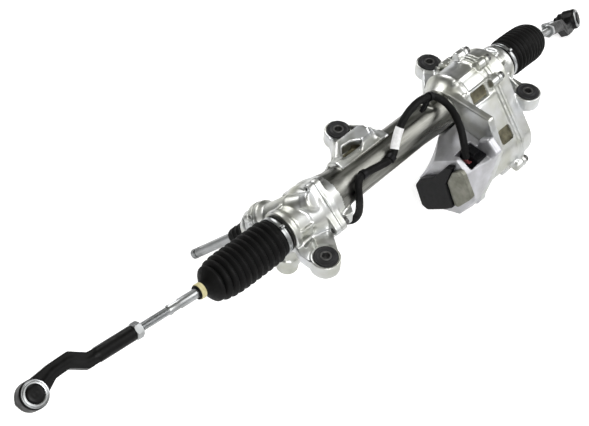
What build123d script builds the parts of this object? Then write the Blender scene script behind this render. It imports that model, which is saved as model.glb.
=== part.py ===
"""Electric power steering rack: a belt-driven rack with two tie rods, on four rubber mounts.

Frame: millimetres, +Z up. The origin lies midway between the two front mounting holes, at the
top of their sleeves. The rack runs along X at y = RACK_Y, the pinion is at the -X end, and the
ball nut, belt and motor are at the +X end.
"""

from build123d import *
from math import asin, atan, cos, hypot, pi, radians, sin, sqrt, tan
import os

# ---------------------------------------------------------------------------------------------
# Driving dimensions, millimetres and degrees
# ---------------------------------------------------------------------------------------------
RACK_Y = 78.0                 # rack axis, from the line through the front mounting holes
SHIFT = -14.0                 # the rack rests this far from its middle
GAP = 0.3                     # between pieces that move past each other
FIT = 0.05                    # radial play of a running fit

# mounts: rubber bushes with a steel sleeve, (x, y) of each hole
FRONT_X = 257.0
REAR_LEFT_X = -46.0
REAR_RIGHT_X = 193.0
REAR_Y = 167.0
EARS = [(-FRONT_X, 0.0), (FRONT_X, 0.0), (REAR_LEFT_X, REAR_Y), (REAR_RIGHT_X, REAR_Y)]
SLEEVE_BORE_R = 6.2
SLEEVE_R = 9.0
BUSH_R = 18.0
BUSH_LIP_R = 19.5
BUSH_LIP = 3.5
EAR_R = 23.5
EAR_TOP = -BUSH_LIP           # top of the cast ear, under the lip of its bush
EAR_HEIGHT = 25.0

# rack bar
RACK_R = 13.0
HOUSING_END_X = 300.0         # end of each boot's neck, either side of x = 0
BOOT_SEAT_X = HOUSING_END_X - 16.0    # middle of each large clamp
RACK_END_X = 360.0            # inner ball centres from the rack's own middle
TOOTH_MODULE = 2.0
PINION_TEETH = 8
PRESSURE_ANGLE = 20.0
TIP_PLANE = 10.0              # rack tooth tips from the rack axis

# pinion axis
PINION_X = -234.0
PINION_SKEW = 20.0            # lean of the pinion from square across the rack
PINION_DROP = 49.3            # how steeply its input end points down
PINION_R = PINION_TEETH * TOOTH_MODULE / 2
TOWER_R = 25.0
INPUT_R = 8.3
INPUT_END = 236.0             # along the pinion axis, from the rack

# housings, along X
JOINT_X = -202.0              # face between pinion housing and rack tube
TUBE_R = 31.0
TUBE_END_X = 112.0            # where the tube meets the gear housing
TUBE_END_R = 35.0
BORE_R = 19.0                 # inside of the tube
BARREL_R = 50.0               # gear housing round the ball nut
MOTOR_FACE_X = 112.0          # the motor bolts on from the -X side
SPLIT_X = 203.0               # face between gear housing and end housing
COVER_X = 238.0
END_NECK_R = 32.0
NECK_R = 28.5                 # seat of each boot's large cuff

# ball nut, belt drive and motor
MOTOR_Y = 6.0
MOTOR_Z = -84.0
NUT_R = 24.0
NUT_BORE_R = RACK_R + GAP
NUT_X = (142.0, 230.0)
BEARING_R = 40.0
BEARING_X = (160.0, 178.0)
NUT_PULLEY_R = 38.0
MOTOR_PULLEY_R = 14.0
BELT_X = (207.0, 229.0)
BELT_THICK = 3.2
SHAFT_R = 6.0
ROTOR_R = 22.0
STATOR_R = 36.0

# boots
BOOT_R = 35.5
BOOT_VALLEY_R = 30.0
BOOT_WALL = 1.6
FOLDS = 10
CUFF = 16.0                   # length of the large cuff
SMALL_CUFF = 13.0
BOOT_GRIP = 60.0              # from the inner ball centre to the small cuff

# tie rods
ROD_LENGTH = 355.0            # inner ball centre to outer ball centre
ROD_R = 6.2
SHANK_R = 7.7
INNER_BALL_R = 12.0
SOCKET_R = 18.0
OUTER_BALL_R = 11.0
EYE_R = 20.5
ARM_R = 8.6
NUT_AF = 22.0
NUT_AT = ROD_LENGTH - 178.0   # jam nut, from the inner ball centre
NUT_THICK = 12.0
STUD_LENGTH = 60.0
LEFT_POSE = (-8.3, 1.2, 33.0)     # droop, rearward sweep, twist about the rod
RIGHT_POSE = (26.6, 11.9, 55.0)

# ---------------------------------------------------------------------------------------------
# Places and profiles
# ---------------------------------------------------------------------------------------------
rack_line = Plane(origin=(0, RACK_Y, 0), x_dir=(1, 0, 0), z_dir=(0, -1, 0))
motor_line = Plane(origin=(0, MOTOR_Y, MOTOR_Z), x_dir=(1, 0, 0), z_dir=(0, -1, 0))

pinion_dir = Vector(
    -sin(radians(PINION_SKEW)),
    cos(radians(PINION_SKEW)) * cos(radians(PINION_DROP)),
    -cos(radians(PINION_SKEW)) * sin(radians(PINION_DROP)),
)
pinion_side = Vector(1, 0, 0).cross(pinion_dir).normalized()
RACK_DATUM = TIP_PLANE - TOOTH_MODULE              # rack datum line from the rack axis
PINION_SHIFT = 0.5                                 # profile shift, in modules
PINION_OFFSET = RACK_DATUM + PINION_R + PINION_SHIFT * TOOTH_MODULE
pinion_centre = Vector(PINION_X, RACK_Y, 0) + pinion_side * PINION_OFFSET
pinion_line = Plane(origin=pinion_centre, x_dir=pinion_dir, z_dir=pinion_side)


def lathe(plane, outline):
    """A closed face through (distance along the plane's X axis, radius) points."""
    with BuildSketch(plane) as profile:
        with BuildLine():
            Polyline(*outline, close=True)
        make_face()
    return profile.sketch


def about(plane):
    """The plane's own X axis, as an axis to turn a profile about."""
    return Axis(plane.origin, plane.x_dir)


def across(x, y=RACK_Y, z=0.0):
    """A plane square to the rack: its X axis is +Y and its Y axis is +Z."""
    return Plane(origin=(x, y, z), x_dir=(0, 1, 0), z_dir=(1, 0, 0))


def along(plane, distance):
    """A plane square to the given plane's X axis, this far along it."""
    return Plane(
        origin=plane.origin + plane.x_dir * distance, x_dir=plane.y_dir, z_dir=plane.x_dir
    )


def hull_of(plane, discs):
    """The taut outline round discs given as (u, v, radius)."""
    with BuildSketch(plane) as outline:
        with BuildLine():
            for u, v, radius in discs:
                CenterArc((u, v), radius, 0, 360)
        make_hull()
    return outline.sketch


def discs_at(plane, spots, radius):
    """Separate discs of one radius at (u, v) spots."""
    with BuildSketch(plane) as outline:
        with Locations(*spots):
            Circle(radius)
    return outline.sketch


def polygon(plane, corners, rounding=0.0):
    """A face through (u, v) corners, its corners rounded if asked."""
    with BuildSketch(plane) as outline:
        with BuildLine():
            Polyline(*corners, close=True)
        make_face()
        if rounding:
            fillet(outline.vertices(), rounding)
    return outline.sketch


def ring(plane, start, end, outer, inner):
    """The profile of a plain ring."""
    return lathe(plane, [(start, inner), (start, outer), (end, outer), (end, inner)])


finished = []


def keep(part, name):
    """Label a finished piece and put it on the list to export."""
    part.part.label = name
    finished.append(part.part)

# ---------------------------------------------------------------------------------------------
# Rack bar and pinion: straight pinion teeth on a leaning axis, so the rack teeth lean with them
# ---------------------------------------------------------------------------------------------
TRANSVERSE_PITCH = pi * TOOTH_MODULE
PITCH_ALONG_X = TRANSVERSE_PITCH / cos(radians(PINION_SKEW))
BACKLASH = 0.2
SOCKET_BACK = 22.0            # from the inner ball centre back to the socket's face on the rack
TRAVEL_LEFT = -61.0
TRAVEL_RIGHT = 89.0
MESH_MARGIN = 12.0
tooth_plane = Plane(
    origin=(PINION_X, RACK_Y, 0), x_dir=pinion_side.cross(pinion_dir), z_dir=pinion_dir
)


def rack_gap(centre):
    """The trapezium cut between two rack teeth; u runs along the rack, v towards the pinion."""
    lean = tan(radians(PRESSURE_ANGLE))
    half = TRANSVERSE_PITCH / 4 + BACKLASH / 4
    top = RACK_DATUM + TOOTH_MODULE + 1.0
    bottom = RACK_DATUM - 1.25 * TOOTH_MODULE
    wide = half + (top - RACK_DATUM) * lean
    narrow = half - (RACK_DATUM - bottom) * lean
    return [
        (centre - wide, top), (centre + wide, top), (centre + narrow, bottom),
        (centre - narrow, bottom),
    ]


def involute_flank(base, start, end, steps=6):
    """(radius, polar angle) along an involute of this base circle, from start to end radius."""
    flank = []
    for step in range(steps + 1):
        radius = start + (end - start) * step / steps
        roll = sqrt(max(radius**2 / base**2 - 1, 0))
        flank.append((radius, roll - atan(roll)))
    return flank


bar_start = SHIFT - RACK_END_X + SOCKET_BACK
bar_end = SHIFT + RACK_END_X - SOCKET_BACK
first_gap = -int((TRAVEL_RIGHT + MESH_MARGIN) / PITCH_ALONG_X)
last_gap = int((MESH_MARGIN - TRAVEL_LEFT) / PITCH_ALONG_X)

with BuildPart() as rack_bar:
    bar_bevel = 1.5
    revolve(
        lathe(rack_line, [
            (bar_start, 0), (bar_start, RACK_R - bar_bevel), (bar_start + bar_bevel, RACK_R),
            (bar_end - bar_bevel, RACK_R), (bar_end, RACK_R - bar_bevel), (bar_end, 0),
        ]),
        axis=about(rack_line),
    )
    flat_from = PINION_X + (first_gap - 1) * PITCH_ALONG_X
    flat_to = PINION_X + (last_gap + 1) * PITCH_ALONG_X
    flat_plane = Plane(
        origin=Vector(0, RACK_Y, 0) + pinion_side * TIP_PLANE, x_dir=(1, 0, 0), z_dir=pinion_side
    )
    extrude(
        polygon(flat_plane, [
            (flat_from, -RACK_R), (flat_to, -RACK_R), (flat_to, RACK_R), (flat_from, RACK_R),
        ]),
        amount=RACK_R,
        mode=Mode.SUBTRACT,
    )
    for gap in range(first_gap, last_gap + 1):
        extrude(
            polygon(tooth_plane, rack_gap(-gap * TRANSVERSE_PITCH)),
            amount=2 * RACK_R + abs(gap) * PITCH_ALONG_X,
            both=True,
            mode=Mode.SUBTRACT,
        )
keep(rack_bar, "rack_bar")

PINION_TIP_R = PINION_R + (1 + PINION_SHIFT) * TOOTH_MODULE - 0.3
PINION_ROOT_R = PINION_R - (1.25 - PINION_SHIFT) * TOOTH_MODULE
TEETH_HALF = 13.0
JOURNAL_R = 7.5
LOWER_END = -38.0
UPPER_JOURNAL = (26.0, 40.0)
PINION_SLEEVE_R = 10.0
PINION_TOP = 60.0


def pinion_outline():
    """The pinion's toothed outline: involute flanks joined by tip and root lines."""
    base = PINION_R * cos(radians(PRESSURE_ANGLE))
    pitch_roll = tan(radians(PRESSURE_ANGLE))
    pitch_turn = pitch_roll - radians(PRESSURE_ANGLE)
    shifted = pi / 2 + 2 * PINION_SHIFT * pitch_roll
    half_tooth = (shifted * TOOTH_MODULE - BACKLASH / 2) / (2 * PINION_R) + pitch_turn
    flank = involute_flank(base, base, PINION_TIP_R)
    corners = []
    for tooth in range(PINION_TEETH):
        middle = -pi / 2 + 2 * pi * tooth / PINION_TEETH
        rising = [(radius, middle - half_tooth + turn) for radius, turn in flank]
        falling = [(radius, middle + half_tooth - turn) for radius, turn in reversed(flank)]
        root_in = (PINION_ROOT_R, middle - half_tooth)
        root_out = (PINION_ROOT_R, middle + half_tooth)
        corners += [root_in] + rising + falling + [root_out]
    return [(radius * cos(angle), radius * sin(angle)) for radius, angle in corners]


with BuildPart() as pinion_shaft:
    extrude(
        polygon(Plane(
            origin=pinion_centre - pinion_dir * TEETH_HALF, x_dir=tooth_plane.x_dir,
            z_dir=pinion_dir,
        ), pinion_outline()),
        amount=2 * TEETH_HALF,
    )
    revolve(
        lathe(pinion_line, [
            (LOWER_END, 0), (LOWER_END, JOURNAL_R - 1), (LOWER_END + 1, JOURNAL_R),
            (-TEETH_HALF - 2, JOURNAL_R), (-TEETH_HALF, PINION_ROOT_R), (-TEETH_HALF, 0),
        ]),
        axis=about(pinion_line),
    )
    revolve(
        lathe(pinion_line, [
            (TEETH_HALF, 0), (TEETH_HALF, PINION_SLEEVE_R), (UPPER_JOURNAL[0], PINION_SLEEVE_R),
            (UPPER_JOURNAL[0], JOURNAL_R + 1), (UPPER_JOURNAL[1], JOURNAL_R + 1),
            (UPPER_JOURNAL[1], PINION_SLEEVE_R), (PINION_TOP, PINION_SLEEVE_R), (PINION_TOP, 0),
        ]),
        axis=about(pinion_line),
    )
    bar_seat = 24.0
    extrude(
        discs_at(along(pinion_line, bar_seat), [(0, 0)], 3.0 + FIT),
        amount=PINION_TOP,
        mode=Mode.SUBTRACT,
    )
keep(pinion_shaft, "pinion_shaft")

with BuildPart() as torsion_bar:
    bar_far = INPUT_END - 14.0
    revolve(
        lathe(pinion_line, [
            (bar_seat, 0), (bar_seat, 3.0), (bar_seat + 12, 3.0), (bar_seat + 18, 2.2),
            (bar_far - 18, 2.2), (bar_far - 12, 3.0), (bar_far, 3.0), (bar_far, 0),
        ]),
        axis=about(pinion_line),
    )
keep(torsion_bar, "torsion_bar")

SEAL_SHAFT_R = 9.0            # where the dust seal runs
SPIGOT_FROM = 142.0
SPLINES = 36
SPLINE_LENGTH = 24.0
SPLINE_GROOVE = (INPUT_END - 12.0, 4.0)

with BuildPart() as input_shaft:
    groove_at, groove_wide = SPLINE_GROOVE
    start = PINION_TOP + GAP
    revolve(
        lathe(pinion_line, [
            (start, 3.0 + FIT), (start, PINION_SLEEVE_R), (start + 34, PINION_SLEEVE_R),
            (start + 36, SEAL_SHAFT_R), (SPIGOT_FROM, SEAL_SHAFT_R), (SPIGOT_FROM, INPUT_R),
            (groove_at, INPUT_R), (groove_at, INPUT_R - 2),
            (groove_at + groove_wide, INPUT_R - 2), (groove_at + groove_wide, INPUT_R),
            (INPUT_END - 1, INPUT_R), (INPUT_END, INPUT_R - 1), (INPUT_END, 3.0 + FIT),
        ]),
        axis=about(pinion_line),
    )
    with BuildSketch(along(pinion_line, INPUT_END - SPLINE_LENGTH)):
        with PolarLocations(INPUT_R, SPLINES):
            Rectangle(0.9, 0.6)
    extrude(amount=SPLINE_LENGTH, mode=Mode.SUBTRACT)
keep(input_shaft, "input_shaft")

# ---------------------------------------------------------------------------------------------
# Pinion housing: the -X casting, with the boot's neck, the pinion tower, the yoke and an ear
# ---------------------------------------------------------------------------------------------
RACK_CLEAR_R = RACK_R + 3.0
SOCKET_CLEAR_R = SOCKET_R + 1.0
COUNTERBORE_X = HOUSING_END_X - 40.0
COLLAR_X = HOUSING_END_X - 26.0
COLLAR_R = 36.5
TUNNEL_R = 36.0
TOWER_TOP = 58.0
SENSOR_FLANGE_R = TOWER_R + 9
TOWER_CAP_R = 17.0
LOWER_BEARING_R = 13.0
UPPER_BEARING_R = 17.0
YOKE_R = 14.0
YOKE_TOWER_R = 21.0
YOKE_END = 48.0
JOINT_FLANGE = 12.0
JOINT_LUGS = [(4.0, 45.0), (-52.0, -2.0), (12.0, -44.0), (46.0, -8.0)]
JOINT_LUG_R = 10.0
M8_R = 4.0
BOLT_CLEAR = 0.2

yoke_line = Plane(origin=(PINION_X, RACK_Y, 0), x_dir=-pinion_side, z_dir=pinion_dir)


def ear_boss(spot, height):
    """The blank of one cast ear: a face on top, to extrude down by its height."""
    return discs_at(Plane.XY.offset(EAR_TOP), [spot], EAR_R)


with BuildPart() as pinion_housing:
    neck_bevel = 1.5
    revolve(
        lathe(rack_line, [
            (-HOUSING_END_X, 0), (-HOUSING_END_X, NECK_R - neck_bevel),
            (-HOUSING_END_X + neck_bevel, NECK_R), (-COLLAR_X, NECK_R),
            (-COLLAR_X, COLLAR_R), (-COLLAR_X + 9, COLLAR_R), (-COLLAR_X + 14, TUNNEL_R - 3),
            (JOINT_X - JOINT_FLANGE, TUNNEL_R), (JOINT_X, TUNNEL_R), (JOINT_X, 0),
        ]),
        axis=about(rack_line),
    )
    # flange that meets the rack tube
    flange_discs = [(0, 0, TUNNEL_R + 2)] + [(u, v, JOINT_LUG_R) for u, v in JOINT_LUGS]
    extrude(hull_of(across(JOINT_X), flange_discs), amount=-JOINT_FLANGE)
    # pinion tower, with a cap over its lower bearing
    revolve(
        lathe(pinion_line, [
            (LOWER_END - 8, 0), (LOWER_END - 8, TOWER_CAP_R - 3), (LOWER_END - 5, TOWER_CAP_R),
            (LOWER_END + 8, TOWER_CAP_R), (-6, TOWER_R), (TOWER_TOP - 16, TOWER_R),
            (TOWER_TOP - 9, TOWER_R + 8), (TOWER_TOP, TOWER_R + 8), (TOWER_TOP, 0),
        ]),
        axis=about(pinion_line),
    )
    # yoke tower on the far side of the rack
    extrude(discs_at(along(yoke_line, 0), [(0, 0)], YOKE_TOWER_R), amount=YOKE_END)
    # boss under the casting
    boss_x = PINION_X - 22.0
    with BuildSketch(Plane(origin=(boss_x, RACK_Y, 0), z_dir=(0, 0, -1))):
        Circle(18)
    extrude(amount=98)
    with BuildSketch(Plane(origin=(boss_x, RACK_Y, -62), z_dir=(0, 0, -1))):
        Circle(22)
    extrude(amount=16)
    # web and boss of the front left ear
    web = [(-FRONT_X, 0.0, 22.0), (-FRONT_X - 14, 30.0, 9.0), (-FRONT_X - 5, 50.0, 8.0),
           (JOINT_X - 16, 50.0, 10.0), (JOINT_X - 20, 26.0, 8.0)]
    extrude(hull_of(Plane.XY.offset(EAR_TOP - 3), web), amount=-17)
    extrude(ear_boss(EARS[0], EAR_HEIGHT), amount=-EAR_HEIGHT)
    # pocket between the web's two ribs
    pocket = [(-FRONT_X - 7, 40), (-FRONT_X + 17, 42), (-FRONT_X + 6, 24), (-FRONT_X - 4, 24)]
    extrude(polygon(Plane.XY.offset(EAR_TOP), pocket, 2.0), amount=-14, mode=Mode.SUBTRACT)
    # bores: rack, socket, pinion, its bearings, yoke, ear and flange bolts
    revolve(
        lathe(rack_line, [
            (-HOUSING_END_X, 0), (-HOUSING_END_X, SOCKET_CLEAR_R),
            (-COUNTERBORE_X, SOCKET_CLEAR_R), (-COUNTERBORE_X, RACK_CLEAR_R),
            (JOINT_X, RACK_CLEAR_R), (JOINT_X, 0),
        ]),
        axis=about(rack_line),
        mode=Mode.SUBTRACT,
    )
    revolve(
        lathe(pinion_line, [
            (LOWER_END - 2, 0), (LOWER_END - 2, LOWER_BEARING_R), (TEETH_HALF + 4, LOWER_BEARING_R),
            (TEETH_HALF + 4, UPPER_BEARING_R), (UPPER_JOURNAL[1] + 2, UPPER_BEARING_R),
            (TOWER_TOP, UPPER_BEARING_R + 3), (TOWER_TOP, 0),
        ]),
        axis=about(pinion_line),
        mode=Mode.SUBTRACT,
    )
    extrude(
        discs_at(along(yoke_line, 0), [(0, 0)], YOKE_R + FIT), amount=YOKE_END, mode=Mode.SUBTRACT
    )
    extrude(
        discs_at(Plane.XY, [EARS[0]], BUSH_R), amount=-60, mode=Mode.SUBTRACT
    )
    extrude(
        discs_at(along(pinion_line, TOWER_TOP), [(0, 0)], SENSOR_FLANGE_R + 10),
        amount=30,
        mode=Mode.SUBTRACT,
    )
    extrude(
        discs_at(across(JOINT_X), JOINT_LUGS, M8_R + BOLT_CLEAR),
        amount=-JOINT_FLANGE,
        mode=Mode.SUBTRACT,
    )
keep(pinion_housing, "pinion_housing")

with BuildPart() as rack_yoke:
    extrude(discs_at(along(yoke_line, 3), [(0, 0)], YOKE_R), amount=22)
    revolve(
        lathe(rack_line, [
            (PINION_X - 2 * YOKE_R, 0), (PINION_X - 2 * YOKE_R, RACK_R + FIT),
            (PINION_X + 2 * YOKE_R, RACK_R + FIT), (PINION_X + 2 * YOKE_R, 0),
        ]),
        axis=about(rack_line),
        mode=Mode.SUBTRACT,
    )
keep(rack_yoke, "rack_yoke")

with BuildPart() as yoke_spring:
    spring_from = 25.0
    spring_to = 35.0
    leaf = 1.6
    revolve(
        lathe(yoke_line, [
            (spring_from, 7), (spring_from, 7 + leaf), (spring_from + 5 - leaf / 2, YOKE_R - 1),
            (spring_to - leaf, 7), (spring_to, 7), (spring_to, 7 + leaf),
            (spring_from + 5 + leaf / 2, YOKE_R), (spring_from + leaf, 7 + leaf),
            (spring_from + leaf, 7),
        ]),
        axis=about(yoke_line),
    )
keep(yoke_spring, "yoke_spring")

with BuildPart() as yoke_plug:
    revolve(
        lathe(yoke_line, [(spring_to, 0), (spring_to, YOKE_R), (YOKE_END - 2, YOKE_R),
                          (YOKE_END - 2, 0)]),
        axis=about(yoke_line),
    )
    with BuildSketch(along(yoke_line, YOKE_END - 2)):
        RegularPolygon(9.0, 6)
    extrude(amount=-6, mode=Mode.SUBTRACT)
keep(yoke_plug, "yoke_plug")


def pinion_bearing(start, end, inner, outer):
    """A ball bearing as its two races and the cage ring between them, in one ring."""
    groove = (outer - inner) * 0.12
    middle = (inner + outer) / 2
    return lathe(pinion_line, [
        (start, inner), (start, middle - groove), (start + 1.5, middle - groove),
        (start + 1.5, middle + groove), (start, middle + groove), (start, outer), (end, outer),
        (end, middle + groove), (end - 1.5, middle + groove), (end - 1.5, middle - groove),
        (end, middle - groove), (end, inner),
    ])


with BuildPart() as pinion_bearings:
    revolve(
        pinion_bearing(LOWER_END + 2, -TEETH_HALF - 6, JOURNAL_R + FIT, LOWER_BEARING_R),
        axis=about(pinion_line),
    )
    revolve(
        pinion_bearing(UPPER_JOURNAL[0] + 1, UPPER_JOURNAL[1] - 1, JOURNAL_R + 1 + FIT,
                       UPPER_BEARING_R),
        axis=about(pinion_line),
    )
keep(pinion_bearings, "pinion_bearings")

# ---------------------------------------------------------------------------------------------
# Torque sensor housing and dust seal round the input shaft
# ---------------------------------------------------------------------------------------------
SENSOR_R = 28.0
SENSOR_TOP = 97.0
SEAL_TO = 138.0
SENSOR_BORE_R = 21.0
SENSOR_SCREW_R = 2.5
SENSOR_SCREW_AT = SENSOR_FLANGE_R + 2.0

with BuildPart() as sensor_housing:
    revolve(
        lathe(pinion_line, [
            (TOWER_TOP, SENSOR_BORE_R), (TOWER_TOP, SENSOR_FLANGE_R),
            (TOWER_TOP + 9, SENSOR_FLANGE_R), (TOWER_TOP + 9, SENSOR_R + 3),
            (TOWER_TOP + 14, SENSOR_R),
            (SENSOR_TOP - 12, SENSOR_R), (SENSOR_TOP - 8, SENSOR_R - 4),
            (SENSOR_TOP, SENSOR_R - 6), (SENSOR_TOP, INPUT_R + 6), (SENSOR_TOP - 8, INPUT_R + 6),
            (SENSOR_TOP - 10, SENSOR_BORE_R),
        ]),
        axis=about(pinion_line),
    )
    with BuildSketch(along(pinion_line, TOWER_TOP)):
        with PolarLocations(SENSOR_SCREW_AT, 3, start_angle=40):
            Circle(7)
    extrude(amount=9)
    with BuildSketch(along(pinion_line, TOWER_TOP)):
        with PolarLocations(SENSOR_SCREW_AT, 3, start_angle=40):
            Circle(SENSOR_SCREW_R + BOLT_CLEAR)
        Circle(SENSOR_BORE_R)
    extrude(amount=12, mode=Mode.SUBTRACT)
keep(sensor_housing, "sensor_housing")

with BuildPart() as sensor_coil:
    revolve(
        ring(pinion_line, TOWER_TOP + 5, SENSOR_TOP - 14, SENSOR_BORE_R - FIT, PINION_SLEEVE_R + 2),
        axis=about(pinion_line),
    )
keep(sensor_coil, "sensor_coil")

with BuildPart() as input_dust_seal:
    revolve(
        lathe(pinion_line, [
            (SENSOR_TOP - 6, INPUT_R + 6), (SENSOR_TOP, INPUT_R + 6), (SENSOR_TOP, 19),
            (SENSOR_TOP + 6, 18.5), (SENSOR_TOP + 9, 15), (SEAL_TO - 6, 13.5), (SEAL_TO, 11),
            (SEAL_TO, SEAL_SHAFT_R + FIT), (SEAL_TO - 4, SEAL_SHAFT_R + FIT),
            (SEAL_TO - 6, SEAL_SHAFT_R + 2.3),
            (SENSOR_TOP + 2, SEAL_SHAFT_R + 2.3), (SENSOR_TOP - 6, SEAL_SHAFT_R + 2.3),
        ]),
        axis=about(pinion_line),
    )
keep(input_dust_seal, "input_dust_seal")


def cap_screws(plane, spots, shank, length, head=None, socket=True):
    """Cap screws with their heads on the plane's +Z side, at (u, v) spots."""
    head_r = head or shank * 1.6
    with BuildPart() as screws:
        with BuildSketch(plane):
            with Locations(*spots):
                Circle(head_r)
        extrude(amount=2 * shank)
        with BuildSketch(plane):
            with Locations(*spots):
                Circle(shank)
        extrude(amount=-length)
        if socket:
            with BuildSketch(plane.offset(2 * shank)):
                with Locations(*spots):
                    RegularPolygon(shank * 0.85, 6)
            extrude(amount=-shank, mode=Mode.SUBTRACT)
    return screws.part


with BuildPart() as sensor_screws:
    screw_face = along(pinion_line, TOWER_TOP + 9)
    screw_spots = [
        (SENSOR_SCREW_AT * cos(radians(40 + 120 * turn)),
         SENSOR_SCREW_AT * sin(radians(40 + 120 * turn)))
        for turn in range(3)
    ]
    add(cap_screws(screw_face, screw_spots, SENSOR_SCREW_R, 9.0))
keep(sensor_screws, "sensor_screws")

# ---------------------------------------------------------------------------------------------
# Rack housing: tube, rear ears and the gear housing round the ball nut, cast in one
# ---------------------------------------------------------------------------------------------
BRACKET_THICK = 22.0
WAIST_X = 40.0                # where the tube begins to widen
JOINT_CONE_R = 38.0           # tube's foot on the joint flange
NUT_SPACE_R = 43.0
MOTOR_SPACE_R = 41.0
PLATE_THICK = 14.0
FLANGE_THICK = 7.0
FLANGE_RS = (55.0, 54.0)      # split flange round the rack and round the motor shaft
MOTOR_AT = (MOTOR_Y - RACK_Y, MOTOR_Z)
COVER_BOLT_AT = 57.0
COVER_LUG_R = 9.0
COVER_BOLTS = [
    (COVER_BOLT_AT * cos(radians(angle)), COVER_BOLT_AT * sin(radians(angle)))
    for angle in (10, 55, 100, 138)
] + [
    (MOTOR_AT[0] + COVER_BOLT_AT * cos(radians(angle)),
     MOTOR_AT[1] + COVER_BOLT_AT * sin(radians(angle)))
    for angle in (200, 240, 290, 330)
]
MOTOR_PLATE = [
    (85, 38), (-17, 38), (-50, -17), (-45, -84), (-34, -150), (40, -150), (62, -110), (64, -60),
    (104, -30),
]
MOTOR_BOLTS = [(-25, -5), (-29, -141), (52, -138), (58, -62)]
MOTOR_LUG_R = 9.0
M6_R = 3.0
MOTOR_BEARING_R = 13.0
MOTOR_BEARING_X = (128.0, 138.0)

TUBE_OUTLINE = [
    (JOINT_X, 0), (JOINT_X, JOINT_CONE_R), (JOINT_X + JOINT_FLANGE, JOINT_CONE_R),
    (JOINT_X + JOINT_FLANGE + 42, TUBE_R + 1.5), (WAIST_X, TUBE_R), (TUBE_END_X, TUBE_END_R),
    (MOTOR_FACE_X + PLATE_THICK, TUBE_END_R + 8), (MOTOR_FACE_X + PLATE_THICK + 8, BARREL_R),
    (SPLIT_X, BARREL_R), (SPLIT_X, 0),
]

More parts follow.
